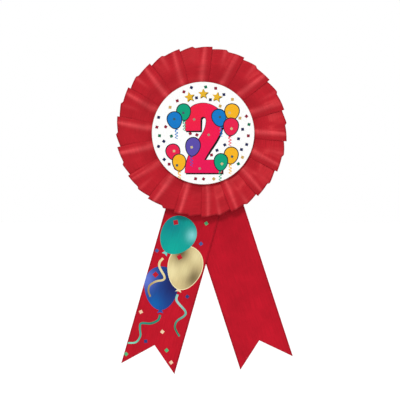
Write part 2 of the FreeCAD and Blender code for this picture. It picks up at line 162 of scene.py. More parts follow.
FLOOR_HALF = 12.0
FLOOR_DROP = 0.04
floor_z = cad_box[0].z - FLOOR_DROP
floor_mesh = bpy.data.meshes.new("floor")
floor_corners = [(-1, -1), (1, -1), (1, 1), (-1, 1)]
floor_corners = [(x * FLOOR_HALF, y * FLOOR_HALF, floor_z) for x, y in floor_corners]
floor_mesh.from_pydata(floor_corners, [], [(0, 1, 2, 3)])
floor = new_object("floor", floor_mesh)

# Each lamp's name, degrees above and to the side, power, and softness as degrees across.
LAMPS = [("front_lamp", 28, -10, 1.75, 14), ("top_lamp", 72, 25, 0.9, 40)]
for name, above, aside, power, softness in LAMPS:
    lamp = bpy.data.objects.new(name, bpy.data.lights.new(name, "SUN"))
    lamp.data.energy = power
    lamp.data.angle = math.radians(softness)
    lamp.rotation_euler = (math.radians(90 - above), 0, math.radians(aside))
    scene.collection.objects.link(lamp)

world = bpy.data.worlds.new("pale_room")
scene.world = world
world.use_nodes = True
room = world.node_tree
room.nodes.clear()
ray = add(room, "ShaderNodeTexCoord", out="Generated")
height = add(room, "ShaderNodeSeparateXYZ", [ray], out="Z")
height = add(room, "ShaderNodeMath", [height], operation="ABSOLUTE")
glow = add(room, "ShaderNodeMapRange", [height, 0.12, 0.45, 1.0, 0.62], interpolation_type="SMOOTHSTEP")
room_light = add(room, "ShaderNodeBackground", {"Color": (1, 1, 1, 1), "Strength": glow})
add(room, "ShaderNodeOutputWorld", [room_light])
print(f"camera: {camera.data.lens:.0f} mm lens; floor: {FLOOR_DROP / MM:.0f} mm below; {len(LAMPS)} lamps")

# %% [markdown]
# ## Satin
# The frill and the tails are woven polyester satin: warp threads run along the ribbon and float over
# many weft threads, so the cloth is smooth along its length and rough across it. That gives the eye a
# soft streak wherever the ribbon turns over a crest, at right angles to its threads. The shader does
# the same with anisotropy, whose tangent points across the ribbon along the cloth map. The warp is
# about 0.1 mm apart, too fine to show, so it is drawn three times as coarse. An attribute of the frill's
# mesh marks its crests, and a paler red is painted there as a highlight. The selvedges are darker,
# partly for their tighter weave and partly as painted shade along the edges. The printed tail takes its
# colour from the ink painted on its mesh, and is otherwise the same cloth.

# %% Satin
RED_BODY = "#9c1823"
# Paler red, painted as a highlight along the frill's crests.
RED_CREST_HIGHLIGHT = "#b9393f"
HALF_WIDTH = 12.7
WARP_SPACING = 0.3
FLOAT_LENGTH = 7.0
THREAD_SCALE = (1 / WARP_SPACING, 1 / FLOAT_LENGTH, 1)
SELVEDGE = 0.9
SELVEDGE_BLEND = 0.3


def new_material(name):
    """An empty node material and its tree."""
    material = bpy.data.materials.new(name)
    material.use_nodes = True
    material.node_tree.nodes.clear()
    return material, material.node_tree


def satin(name, printed):
    """Woven satin, dyed red or printed."""
    material, tree = new_material(name)
    cloth = add(tree, "ShaderNodeUVMap", uv_map="cloth")
    stretched = add(tree, "ShaderNodeMapping", {"Vector": cloth, "Scale": THREAD_SCALE})
    warp = add(tree, "ShaderNodeTexNoise", {"Vector": stretched, "Scale": 1.0, "Detail": 2.0})
    patches = add(tree, "ShaderNodeTexNoise", {"Vector": cloth, "Scale": 0.09, "Detail": 3.0})
    body = add(tree, "ShaderNodeAttribute", attribute_name="ink") if printed else linear(RED_BODY)
    # Painted highlight: this attribute is 1 on the frill's crests, where the paler red is mixed in.
    crease = add(tree, "ShaderNodeAttribute", out="Fac", attribute_name="crease")
    body = add(tree, "ShaderNodeMix", [crease, body, linear(RED_CREST_HIGHLIGHT)], data_type="RGBA")
    aside = add(tree, "ShaderNodeSeparateXYZ", [cloth], out="X")
    aside = add(tree, "ShaderNodeMath", [aside, HALF_WIDTH], operation="SUBTRACT")
    aside = add(tree, "ShaderNodeMath", [aside], operation="ABSOLUTE")
    inner, outer = HALF_WIDTH - SELVEDGE, HALF_WIDTH - SELVEDGE + SELVEDGE_BLEND
    # Darker edges: partly the selvedge's tighter weave, partly painted shade along the ribbon's edges.
    selvedge_and_edge_shade = add(tree, "ShaderNodeMapRange", [aside, inner, outer, 1.0, 0.8])
    uneven = add(tree, "ShaderNodeMapRange", [patches, 0.35, 0.7, 1.05, 0.86])
    streak = add(tree, "ShaderNodeMapRange", [warp, 0.3, 0.7, 0.9, 1.1])
    shade = add(tree, "ShaderNodeMath", [selvedge_and_edge_shade, uneven], operation="MULTIPLY")
    shade = add(tree, "ShaderNodeMath", [shade, streak], operation="MULTIPLY")
    colour = add(tree, "ShaderNodeVectorMath", {0: body, "Scale": shade}, operation="SCALE")
    bump = add(tree, "ShaderNodeBump", {"Strength": 0.25, "Distance": 0.00005, "Height": warp})
    across = add(tree, "ShaderNodeTangent", direction_type="UV_MAP", uv_map="cloth")
    sheen = add(tree, "ShaderNodeBsdfPrincipled", {
        "Base Color": colour, "Roughness": 0.38, "Specular IOR Level": 0.3,
        "Specular Tint": (1.0, 0.17, 0.16, 1.0), "Anisotropic": 0.8, "Tangent": across, "Normal": bump,
    })
    add(tree, "ShaderNodeOutputMaterial", [sheen])
    return material


RED_SATIN = satin("red_woven_satin", printed=False)
PRINTED_SATIN = satin("printed_woven_satin", printed=True)
print(f"satin: warp {WARP_SPACING} mm apart, {len(RED_SATIN.node_tree.nodes)} nodes")

# %% [markdown]
# ## The pleated frill
# The frill is one satin ribbon, 25.4 mm wide, laid in 17 knife pleats: it runs forward over the face of
# a pleat, folds back under itself, and folds forward again. Its inner edge is sewn tight and its outer
# edge fans out, so each pleat shows more of itself towards the rim and hides less. Such a shape follows
# a rule, so Geometry Nodes make it from a flat grid: one direction of the grid goes along the ribbon and
# the other across it, and the tree works out angle, height and radius for every point. A cloth
# simulation would have to sew it first, and would lose the even fan that a maker presses in. The count
# of 17 is a guess: the bright crests suggest it, but the rim could belong to a frill with more pleats.

# %% The frill's node tree
MATH = "ShaderNodeMath"
COLUMNS = 52
FORWARD = 36
RETURN_START = FORWARD + 2
RETURN_END = COLUMNS - 2
ROWS = 34
pleats = bpy.data.node_groups.new("knife_pleats", "GeometryNodeTree")
pleats.interface.new_socket("Geometry", in_out="OUTPUT", socket_type="NodeSocketGeometry")
FRILL_INPUTS = [
    ("Pleats", "NodeSocketInt", 17),
    ("Ribbon per pleat", "NodeSocketFloat", 21.0),
    ("Inner radius", "NodeSocketFloat", 14.7),
    ("Ribbon width", "NodeSocketFloat", 25.4),
    ("Clamped radius", "NodeSocketFloat", 25.6),
    ("Loose radius", "NodeSocketFloat", 33.0),
    ("Clamped height", "NodeSocketFloat", 1.75),
    ("Free height", "NodeSocketFloat", 4.7),
    ("First fold", "NodeSocketFloat", math.radians(18)),
    ("Fold size", "NodeSocketFloat", 0.13),
    ("Rim dip", "NodeSocketFloat", 1.3),
    ("Seed", "NodeSocketFloat", 4.0),
    ("Centre", "NodeSocketVector", (-0.75, -6.5, -7.35)),
    ("Material", "NodeSocketMaterial", None),
]
for title, kind, _ in FRILL_INPUTS:
    pleats.interface.new_socket(title, in_out="INPUT", socket_type=kind)
given = {socket.name: socket for socket in pleats.nodes.new("NodeGroupInput").outputs if socket.name}


def draw_curve(output, points, smooth=True):
    """Gives a float curve node, added before, the points of its curve."""
    mapping = output.node.mapping
    curve = mapping.curves[0]
    while len(curve.points) < len(points):
        curve.points.new(0.5, 0.5)
    for point, place in zip(curve.points, points):
        point.location = place
        point.handle_type = "AUTO_CLAMPED" if smooth else "VECTOR"
    mapping.update()


print(f"frill: {COLUMNS} columns for each pleat, {ROWS} rows, {len(FRILL_INPUTS)} inputs")

# %% [markdown]
# The grid has 52 columns for each pleat: 36 run forward over its face, 2 turn back round the fold, 12
# run back under it and 2 turn forward again. So a point's column says which pleat it is in, how far
# forward or back it has run, on which side of a fold it bulges, and in which layer it lies.

# %% Where a point is along and across the ribbon
column_count = add(pleats, MATH, [given["Pleats"], COLUMNS], operation="MULTIPLY")
line_count = add(pleats, MATH, [column_count, 1], operation="ADD")
grid = add(pleats, "GeometryNodeMeshGrid", {
    "Size X": 1.0, "Size Y": 1.0, "Vertices X": ROWS, "Vertices Y": line_count,
})
spot = add(pleats, "ShaderNodeSeparateXYZ", [add(pleats, "GeometryNodeInputPosition")])
across = add(pleats, MATH, [spot, 0.5], operation="ADD")
along = add(pleats, MATH, [spot.node.outputs["Y"], 0.5], operation="ADD")
column = add(pleats, MATH, [along, column_count], operation="MULTIPLY")
column = add(pleats, MATH, [column], operation="ROUND")
step = add(pleats, MATH, [column, COLUMNS], operation="MODULO")
pleat = add(pleats, MATH, [column, step], operation="SUBTRACT")
pleat = add(pleats, MATH, [pleat, COLUMNS], operation="DIVIDE")
phase = add(pleats, MATH, [step, COLUMNS], operation="DIVIDE")
forward = add(pleats, MATH, [step, FORWARD], operation="DIVIDE", use_clamp=True)
backward = add(pleats, "ShaderNodeMapRange", [step, RETURN_START, RETURN_END, 0.0, 1.0])
bulge = add(pleats, "ShaderNodeFloatCurve", {"Value": phase})
draw_curve(bulge, [
    (0, 0.5), (FORWARD / COLUMNS, 0.5), ((FORWARD + 1) / COLUMNS, 1), (RETURN_START / COLUMNS, 0.5),
    (RETURN_END / COLUMNS, 0.5), ((COLUMNS - 1) / COLUMNS, 0), (1, 0.5),
], smooth=False)
layer = add(pleats, "ShaderNodeFloatCurve", {"Value": phase})
draw_curve(layer, [
    (0, 0.5), (FORWARD / COLUMNS, 0.5), (RETURN_START / COLUMNS, 1), (RETURN_END / COLUMNS, 0), (1, 0.5),
], smooth=False)
print(f"along and across: {len(pleats.nodes)} nodes")

# %% [markdown]
# Every pleat takes the same length of ribbon, but the ring is longer at its rim than at its inner edge.
# So a pleat shows more of its ribbon at the rim, and what is left over is tucked under twice: once
# running back and once running forward again. The reach counts a point's place in shown pleats, from 0
# at its own fold to 1 at the next.

# %% How far round the ring it is
radius = add(pleats, MATH, [across, given["Ribbon width"], given["Inner radius"]], operation="MULTIPLY_ADD")
shown_width = add(pleats, MATH, [radius, TURN], operation="MULTIPLY")
shown_width = add(pleats, MATH, [shown_width, given["Pleats"]], operation="DIVIDE")
tucked_width = add(pleats, MATH, [given["Ribbon per pleat"], shown_width], operation="SUBTRACT")
tucked_width = add(pleats, MATH, [tucked_width, 0.5], operation="MULTIPLY")
run = add(pleats, MATH, [shown_width, tucked_width], operation="ADD")
run = add(pleats, MATH, [forward, run], operation="MULTIPLY")
run_back = add(pleats, MATH, [backward, tucked_width], operation="MULTIPLY")
bend = add(pleats, MATH, [bulge, 0.5], operation="SUBTRACT")
bend = add(pleats, MATH, [bend, given["Fold size"]], operation="MULTIPLY")
arc = add(pleats, MATH, [run, run_back], operation="SUBTRACT")
arc = add(pleats, MATH, [arc, bend], operation="ADD")
reach = add(pleats, MATH, [arc, shown_width], operation="DIVIDE")
pleat_angle = add(pleats, MATH, [TURN, given["Pleats"]], operation="DIVIDE")
even_angle = add(pleats, MATH, [pleat, reach], operation="ADD")
even_angle = add(pleats, MATH, [even_angle, pleat_angle, given["First fold"]], operation="MULTIPLY_ADD")
print(f"round the ring: {len(pleats.nodes)} nodes")

# %% [markdown]
# Hands laid these pleats, so they aren't quite even: one side of the ring is drawn a little closer than
# the other, and noise moves each fold. The noise is read on a ring of its own, so that it meets itself
# after one turn, and hardly changes from the inner edge to the rim. A finer noise ripples the rim, and
# a slower one says how loose each pleat is.

# %% Unevenness
UNEVEN_TURN = math.radians(4)
UNEVEN_FROM = math.radians(65)
FROM_EDGE_TO_RIM = 0.012
RIM_RIPPLE = 0.6
ring_x = add(pleats, MATH, [even_angle], operation="COSINE")
ring_y = add(pleats, MATH, [even_angle], operation="SINE")
ring_z = add(pleats, MATH, [radius, FROM_EDGE_TO_RIM], operation="MULTIPLY")
ring_point = add(pleats, "ShaderNodeCombineXYZ", [ring_x, ring_y, ring_z])
wander = add(pleats, "ShaderNodeTexNoise", {
    "Vector": ring_point, "W": given["Seed"], "Scale": 2.4, "Detail": 1.0,
}, noise_dimensions="4D")
wander = add(pleats, MATH, [wander, 0.5], operation="SUBTRACT")
drift = add(pleats, MATH, [even_angle, UNEVEN_FROM], operation="SUBTRACT")
drift = add(pleats, MATH, [drift], operation="SINE")
drift = add(pleats, MATH, [drift, wander], operation="ADD")
angle = add(pleats, MATH, [drift, UNEVEN_TURN, even_angle], operation="MULTIPLY_ADD")
loose_seed = add(pleats, MATH, [given["Seed"], 7], operation="ADD")
loose_noise = add(pleats, "ShaderNodeTexNoise", {
    "Vector": ring_point, "W": loose_seed, "Scale": 3.1, "Detail": 1.0,
}, noise_dimensions="4D")
ripple_seed = add(pleats, MATH, [given["Seed"], 3], operation="ADD")
ripple = add(pleats, "ShaderNodeTexNoise", {
    "Vector": ring_point, "W": ripple_seed, "Scale": 9.0, "Detail": 2.0,
}, noise_dimensions="4D")
ripple = add(pleats, MATH, [ripple, 0.5], operation="SUBTRACT")
ripple_size = add(pleats, "ShaderNodeMapRange", [across, 0.45, 1.0, 0.0, RIM_RIPPLE])
ripple = add(pleats, MATH, [ripple, ripple_size], operation="MULTIPLY")
print(f"unevenness: {len(pleats.nodes)} nodes")

# %% [markdown]
# Seen along the ring, a pleat climbs from its fold to a crest and then slopes down until it goes under
# the next fold. The crest lies further from the fold at the disc than at the rim, because the rim fans
# out. The disc's card clamps the pleats at its edge, and outside it they spring up. The two curves give
# the height on the way up and on the way down, as shares of the crest's height.

# %% How high it stands
DISC_EDGE = 0.4
CREST_AT_DISC = 0.31
CREST_AT_RIM = 0.2
TUCKED = 0.66
DEEPEST = 0.28
FLOOR_OF_PLEATS = 0.2
WAY_UP = [(0, 0.76), (0.45, 0.86), (0.85, 0.985), (1, 1)]
WAY_DOWN = [(0, 1), (0.06, 0.975), (0.2, 0.86), (0.6, 0.74), (1, TUCKED)]
crest_reach = add(pleats, "ShaderNodeMapRange", [across, DISC_EDGE, 1.0, CREST_AT_DISC, CREST_AT_RIM])
under_width = add(pleats, MATH, [tucked_width, shown_width], operation="DIVIDE")


def height_at(reached):
    """Height of the cloth, from 0 at the bottom of a pleat to 1 at its crest, where it has reached."""
    rise = add(pleats, MATH, [reached, crest_reach], operation="DIVIDE", use_clamp=True)
    climb = add(pleats, "ShaderNodeFloatCurve", {"Value": rise})
    draw_curve(climb, WAY_UP)
    fall = add(pleats, "ShaderNodeMapRange", [reached, crest_reach, 1.0, 0.0, 1.0])
    slope = add(pleats, "ShaderNodeFloatCurve", {"Value": fall})
    draw_curve(slope, WAY_DOWN)
    before_crest = add(pleats, MATH, [fall, 0.0001], operation="LESS_THAN")
    face = add(pleats, "ShaderNodeMix", [before_crest, slope, climb])
    under = add(pleats, MATH, [reached, 1], operation="SUBTRACT")
    under = add(pleats, MATH, [under, under_width], operation="DIVIDE", use_clamp=True)
    return add(pleats, MATH, [under, DEEPEST - TUCKED, face], operation="MULTIPLY_ADD")


own_height = height_at(reach)
next_reach = add(pleats, MATH, [reach, 1], operation="SUBTRACT")
next_height = height_at(next_reach)
mixed_height = add(pleats, "ShaderNodeMix", [backward, own_height, next_height])
loosening = add(pleats, "ShaderNodeMapRange", [
    radius, given["Clamped radius"], given["Loose radius"], given["Clamped height"], given["Free height"],
], interpolation_type="SMOOTHSTEP")
looseness = add(pleats, "ShaderNodeMapRange", [loose_noise, 0.3, 0.7, 0.9, 1.06])
top_height = add(pleats, MATH, [loosening, looseness], operation="MULTIPLY")
fold_height = add(pleats, MATH, [given["Fold size"], 3], operation="MULTIPLY")
gap = add(pleats, MATH, [layer, 0.5], operation="SUBTRACT")
gap = add(pleats, MATH, [gap, fold_height, ripple], operation="MULTIPLY_ADD")
rise = add(pleats, MATH, [mixed_height, top_height, FLOOR_OF_PLEATS], operation="MULTIPLY_ADD")
rise = add(pleats, MATH, [rise, gap], operation="ADD")
print(f"height: {len(pleats.nodes)} nodes")

# %% [markdown]
# The ribbon is straight, so the rim of each pleat cuts a little inside the circle, with a spur at its
# fold. The smaller spur half way along is drawn for looks and follows no fold: without it the rim has
# too few steps. The part that leans back goes under the next pleat a little further in. A curve draws
# those dips, and the point is then placed in the ring.

# %% The rim, and the point's place
DIP_SPAN = 0.8
DIPS = [(0, 0), (0.05, 0.12), (0.4, 0.62), (0.46, 0.05), (DIP_SPAN, 1), (1, 1)]
chord = add(pleats, MATH, [reach, DIP_SPAN], operation="MULTIPLY", use_clamp=True)
rim_dip = add(pleats, "ShaderNodeFloatCurve", {"Value": chord})
draw_curve(rim_dip, DIPS, smooth=False)
dip_size = add(pleats, "ShaderNodeMapRange", [loose_noise, 0.3, 0.7, 0.75, 1.2])
dip_size = add(pleats, MATH, [dip_size, given["Rim dip"]], operation="MULTIPLY")
near_rim = add(pleats, MATH, [across, 3], operation="POWER")
dip = add(pleats, MATH, [rim_dip, near_rim], operation="MULTIPLY")
dip = add(pleats, MATH, [dip, dip_size], operation="MULTIPLY")
true_radius = add(pleats, MATH, [radius, dip], operation="SUBTRACT")
turn_x = add(pleats, MATH, [angle], operation="COSINE")
turn_z = add(pleats, MATH, [angle], operation="SINE")
sideways = add(pleats, MATH, [true_radius, turn_x], operation="MULTIPLY")
forwards = add(pleats, MATH, [rise, -1], operation="MULTIPLY")
upwards = add(pleats, MATH, [true_radius, turn_z], operation="MULTIPLY")
in_place = add(pleats, "ShaderNodeCombineXYZ", [sideways, forwards, upwards])
in_place = add(pleats, "ShaderNodeVectorMath", [in_place, given["Centre"]], operation="ADD")
in_metres = add(pleats, "ShaderNodeVectorMath", {0: in_place, "Scale": MM}, operation="SCALE")
print(f"place: {len(pleats.nodes)} nodes")

# %% [markdown]
# Two things are stored for the satin's shader: the cloth map, in millimetres across and along the
# ribbon, and the crest highlight, which is 1 on each crest, where a paler red is painted as a highlight.
# It is about 2 mm wide at the disc and 1 mm at the rim, and some pleats have a second, fainter painted
# highlight near the rim. Both are stored while the grid is still flat, because every value here is
# worked out from a point's place in the grid.

# %% Cloth map, painted crest highlights and finish
# Widths of the painted highlight along each crest, at the disc and at the rim, and of a second, fainter
# painted highlight near the rim.
HIGHLIGHT_AT_DISC = 0.11
HIGHLIGHT_AT_RIM = 0.04
SECOND_HIGHLIGHT = 0.6
SECOND_HIGHLIGHT_WIDTH = 0.05
cloth_across = add(pleats, MATH, [across, given["Ribbon width"]], operation="MULTIPLY")
cloth_along = add(pleats, MATH, [pleat, given["Ribbon per pleat"], run], operation="MULTIPLY_ADD")
cloth_along = add(pleats, MATH, [cloth_along, run_back], operation="ADD")
cloth_point = add(pleats, "ShaderNodeCombineXYZ", [cloth_across, cloth_along])
mapped = add(pleats, "GeometryNodeStoreNamedAttribute", {
    "Geometry": grid, "Name": "cloth", "Value": cloth_point,
}, data_type="FLOAT2", domain="CORNER")
crest_highlight_width = add(pleats, "ShaderNodeMapRange", [across, DISC_EDGE, 1.0, HIGHLIGHT_AT_DISC, HIGHLIGHT_AT_RIM])
crease = add(pleats, MATH, [reach, crest_reach], operation="SUBTRACT")
crease = add(pleats, MATH, [crease, crest_highlight_width], operation="DIVIDE")
crease = add(pleats, MATH, [crease, 2], operation="POWER")
crease = add(pleats, MATH, [0.5, crease], operation="POWER")
# How strongly each pleat's crest is painted with the highlight.
highlight_strength = add(pleats, "ShaderNodeMapRange", [loose_noise, 0.3, 0.6, 0.5, 1.0])
crease = add(pleats, MATH, [crease, highlight_strength], operation="MULTIPLY")
second_highlight = add(pleats, MATH, [reach, SECOND_HIGHLIGHT], operation="SUBTRACT")
second_highlight = add(pleats, MATH, [second_highlight, SECOND_HIGHLIGHT_WIDTH], operation="DIVIDE")
second_highlight = add(pleats, MATH, [second_highlight, 2], operation="POWER")
second_highlight = add(pleats, MATH, [0.5, second_highlight], operation="POWER")
at_rim = add(pleats, "ShaderNodeMapRange", [across, 0.6, 0.95, 0.0, 0.6])
faint = add(pleats, "ShaderNodeMapRange", [loose_noise, 0.45, 0.6, 1.0, 0.0])
second_highlight = add(pleats, MATH, [second_highlight, at_rim], operation="MULTIPLY")
second_highlight = add(pleats, MATH, [second_highlight, faint], operation="MULTIPLY")
crease = add(pleats, MATH, [crease, second_highlight], operation="MAXIMUM")
on_face = add(pleats, MATH, [backward, 0.001], operation="LESS_THAN")
crease = add(pleats, MATH, [crease, on_face], operation="MULTIPLY")
highlight_stored = add(pleats, "GeometryNodeStoreNamedAttribute", {
    "Geometry": mapped, "Name": "crease", "Value": crease,
}, data_type="FLOAT", domain="POINT")
folded = add(pleats, "GeometryNodeSetPosition", {"Geometry": highlight_stored, "Position": in_metres})
joined = add(pleats, "GeometryNodeMergeByDistance", {"Geometry": folded, "Distance": 0.00001})
smooth = add(pleats, "GeometryNodeSetShadeSmooth", {"Geometry": joined})
realised = add(pleats, "GeometryNodeRealizeInstances", {"Geometry": smooth})
dressed = add(pleats, "GeometryNodeSetMaterial", {"Geometry": realised, "Material": given["Material"]})
add(pleats, "NodeGroupOutput", [dressed])
print(f"knife pleats: {len(pleats.nodes)} nodes")

# %% [markdown]
# The tree now runs on an empty mesh, with its inputs set by their identifiers. Solidify gives the ribbon
# its thickness, half on each side, and the result becomes one plain mesh that rides on the rosette.

# %% Fold the frill
SATIN_THICK = 0.2 * MM


def run_tree(name, tree, inputs, **chosen):
    """Runs a Geometry Nodes tree on an empty mesh with its inputs set by their identifiers."""
    obj = new_object(name, bpy.data.meshes.new(name))
    nodes = obj.modifiers.new("nodes", "NODES")
    nodes.node_group = tree
    sockets = {s.name: s.identifier for s in tree.interface.items_tree if s.in_out == "INPUT"}
    for title, _, value in inputs:
        nodes[sockets[title]] = chosen.get(title, value)
    return obj


frill = run_tree("pleated_frill", pleats, FRILL_INPUTS, Material=RED_SATIN)
thickness = frill.modifiers.new("cloth_thickness", "SOLIDIFY")
thickness.thickness = SATIN_THICK
thickness.offset = 0
plain_mesh(frill)
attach(frill, "rosette")
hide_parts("frill")

# %% [markdown]
# ## Stitches
# A row of running stitches through the pleats' inner edges holds the frill in its ring. It is hidden by
# the disc, but the ribbon would fall open without it. One stitch is a short thread that rises out of the
# cloth and goes back in, and a tree sets it round the ring. The thread is spun polyester: dull, because
# its fibres scatter the light, with slanted bands of light and dark where they are twisted.

# %% Sew the inner edge
thread_tree = bpy.data.node_groups.new("running_stitches", "GeometryNodeTree")
thread_tree.interface.new_socket("Geometry", in_out="OUTPUT", socket_type="NodeSocketGeometry")
THREAD_INPUTS = [
    ("Stitches", "NodeSocketInt", 34),
    ("Ring radius", "NodeSocketFloat", 16.4),
    ("Stitch start", "NodeSocketVector", (0, -1.1, 0)),
    ("Stitch crown", "NodeSocketVector", (0, 0, 0.5)),
    ("Stitch end", "NodeSocketVector", (0, 1.1, 0)),
    ("Thread radius", "NodeSocketFloat", 0.14),
    ("Centre", "NodeSocketVector", (-0.001, -0.0083, -0.0073)),
    ("Material", "NodeSocketMaterial", None),
]
for title, kind, _ in THREAD_INPUTS:
    thread_tree.interface.new_socket(title, in_out="INPUT", socket_type=kind)
sewn = {s.name: s for s in thread_tree.nodes.new("NodeGroupInput").outputs if s.name}
stitch = add(thread_tree, "GeometryNodeCurveQuadraticBezier", {
    "Resolution": 8,
    "Start": sewn["Stitch start"], "Middle": sewn["Stitch crown"], "End": sewn["Stitch end"],
})
section = add(thread_tree, "GeometryNodeCurvePrimitiveCircle", {
    "Resolution": 8, "Radius": sewn["Thread radius"],
})
stitch = add(thread_tree, "GeometryNodeCurveToMesh", {
    "Curve": stitch, "Profile Curve": section, "Fill Caps": True,
})
ring = add(thread_tree, "GeometryNodeMeshCircle", {
    "Vertices": sewn["Stitches"], "Radius": sewn["Ring radius"],
})
number = add(thread_tree, "GeometryNodeInputIndex")
share = add(thread_tree, MATH, [number, sewn["Stitches"]], operation="DIVIDE")
heading = add(thread_tree, MATH, [share, TURN], operation="MULTIPLY")
heading = add(thread_tree, "ShaderNodeCombineXYZ", {"Z": heading})
sewing = add(thread_tree, "GeometryNodeInstanceOnPoints", {
    "Points": ring, "Instance": stitch, "Rotation": heading,
})
sewing = add(thread_tree, "GeometryNodeRealizeInstances", [sewing])
sewing = add(thread_tree, "GeometryNodeTransform", {
    "Geometry": sewing, "Translation": sewn["Centre"], "Rotation": (math.radians(90), 0, 0),
    "Scale": (MM, MM, MM),
})
sewing = add(thread_tree, "GeometryNodeSetMaterial", {"Geometry": sewing, "Material": sewn["Material"]})
add(thread_tree, "NodeGroupOutput", [sewing])

THREAD, tree = new_material("spun_polyester_thread")
thread_place = add(tree, "ShaderNodeTexCoord", out="Object")
ply = add(tree, "ShaderNodeTexWave", {
    "Vector": thread_place, "Scale": 1800.0, "Distortion": 1.0,
}, bands_direction="DIAGONAL")
twist = add(tree, "ShaderNodeMix", [ply, linear("#6f101a"), linear("#9c2430")], data_type="RGBA")
twist_bump = add(tree, "ShaderNodeBump", {"Strength": 0.4, "Distance": 0.00005, "Height": ply})
thread_shader = add(tree, "ShaderNodeBsdfPrincipled", {
    "Base Color": twist, "Roughness": 0.75, "Normal": twist_bump,
})
add(tree, "ShaderNodeOutputMaterial", [thread_shader])

stitches = run_tree("running_stitches", thread_tree, THREAD_INPUTS, Material=THREAD)
plain_mesh(stitches)
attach(stitches, "rosette")
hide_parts("frill_thread")

# %% [markdown]
# ## Printing
# The disc and the left tail are printed. A flat sheet is cut along its own outline and along the outline
# of everything printed on it, so that each motif has crisp edges at any distance, and the ink is then
# painted on the faces as a colour attribute. That keeps the artwork as geometry, drawn by a few outlines
# and formulas, and one shader prints every colour. Motifs are listed from the bottom up, and each has an
# outline and an ink, which may shade from a light side to a dark one. Every ink is darkened by one
# factor, matched to the lights of this scene. It isn't a property of real ink.

# %% Inks
INK_FOR_LIGHTS = 0.68


def flat_ink(code):
    """The same ink all over."""
    value = np.array(linear(code)) * INK_FOR_LIGHTS
    return lambda points: np.tile(value, (len(points), 1))


def round_ink(centre, size, base, spots):
    """Ink that makes a motif look round: soft spots of other colours, each with its place and reach."""
    flat = flat_ink(base)

    def ink(points):
        place = (points - centre) / (np.array(size) / 2)
        colours = flat(points)
        for x, y, reach, code in spots:
            share = np.exp(-np.sum((place - (x, y)) ** 2, axis=1) / reach ** 2)[:, None]
            colours = colours * (1 - share) + flat_ink(code)(points) * share
        return colours

    return ink


print(f"inks: scaled by {INK_FOR_LIGHTS} to suit the lights")

# %% [markdown]
# Two more helpers do the cutting. One tells which points lie inside an outline, by counting how often a
# line from each point crosses it. The other fills the sheet with a grid of points, joins them and all
# the outlines into triangles that keep every outline as an edge, throws away what lies outside the
# sheet, and paints each face with the ink of the topmost motif that covers it.

# %% Cut and print a flat sheet
INK_SLOT = 2


def inside(points, outline):
    """Which points lie inside a closed outline."""
    x, y = points[:, 0], points[:, 1]
    found = np.zeros(len(points), bool)
    for (ax, ay), (bx, by) in zip(outline, np.roll(outline, -1, axis=0)):
        if ay != by:
            found ^= ((ay > y) != (by > y)) & (x < (bx - ax) * (y - ay) / (by - ay) + ax)
    return found


def printed_sheet(name, outline, motifs, spacing, ground):
    """A flat sheet, x right and y up in mm, cut round its motifs, which take the ink's material slot."""
    loops = [outline] + [motif for motif, _ in motifs]
    low, high = outline.min(0), outline.max(0)
    columns = np.arange(low[0] + spacing / 2, high[0], spacing)
    rows = np.arange(low[1] + spacing / 2, high[1], spacing)
    filling = np.array([(x + (i % 2) * spacing / 2, y) for i, y in enumerate(rows) for x in columns])
    filling = filling[inside(filling, outline)]
    points, edges = [], []
    for loop in loops:
        first, count = len(points), len(loop)
        points += [Vector(p) for p in loop]
        edges += [(first + i, first + (i + 1) % count) for i in range(count)]
    points += [Vector(p) for p in filling]
    points, _, faces, *_ = delaunay_2d_cdt(points, edges, [], 0, 1e-4, False)
    points = np.array([tuple(p) for p in points])
    faces = np.array(faces)
    centres = points[faces].mean(1)
    kept = inside(centres, outline)
    faces, centres = faces[kept], centres[kept]
    colours = ground(points[faces].reshape(-1, 2)).reshape(len(faces), 3, 4)
    inked = np.zeros(len(faces), int)
    for motif, ink in motifs:
        covered = inside(centres, motif)
        inked[covered] = INK_SLOT
        colours[covered] = ink(points[faces[covered]].reshape(-1, 2)).reshape(-1, 3, 4)
    mesh = bpy.data.meshes.new(name)
    mesh.from_pydata([(x, 0, y) for x, y in points], [], faces.tolist())
    mesh.polygons.foreach_set("material_index", inked)
    painted = mesh.color_attributes.new("ink", "FLOAT_COLOR", "CORNER")
    painted.data.foreach_set("color", colours.astype(np.float32).ravel())
    loose = bmesh.new()
    loose.from_mesh(mesh)
    bmesh.ops.delete(loose, geom=[v for v in loose.verts if not v.link_faces], context="VERTS")
    loose.to_mesh(mesh)
    loose.free()
    print(f"{name}: {len(motifs)} motifs, {len(faces)} faces")
    return mesh


# %% [markdown]
# The motifs are a party printer's stock: balloons, streamers, stars and confetti. A balloon is an egg,
# an ellipse whose upper half is a little wider than its lower one. Curled strings and streamers are
# bands along a smooth line. Squares, knots and stars are short lists of corners, 1 mm or so across, that
# are scaled, turned and moved into place.

# %% Motifs
EGG_SHARE = 0.14


def egg(centre, width, height, lean=0.0, grow=0.0):
    """A balloon's outline, narrow end down, leaning by some degrees, and grown by a margin."""
    turn = np.linspace(0, TURN, 44, endpoint=False)
    x = (width / 2 + grow) * np.sin(turn) * (1 + EGG_SHARE * np.cos(turn))
    y = (height / 2 + grow) * np.cos(turn)
    return placed(np.column_stack([x, y]), centre, lean)


def placed(outline, at, lean=0.0, size=1.0):
    """An outline scaled, turned by some degrees and moved."""
    c, s = math.cos(math.radians(lean)), math.sin(math.radians(lean))
    return np.asarray(outline, float) @ np.array([[c, s], [-s, c]]) * size + np.asarray(at, float)


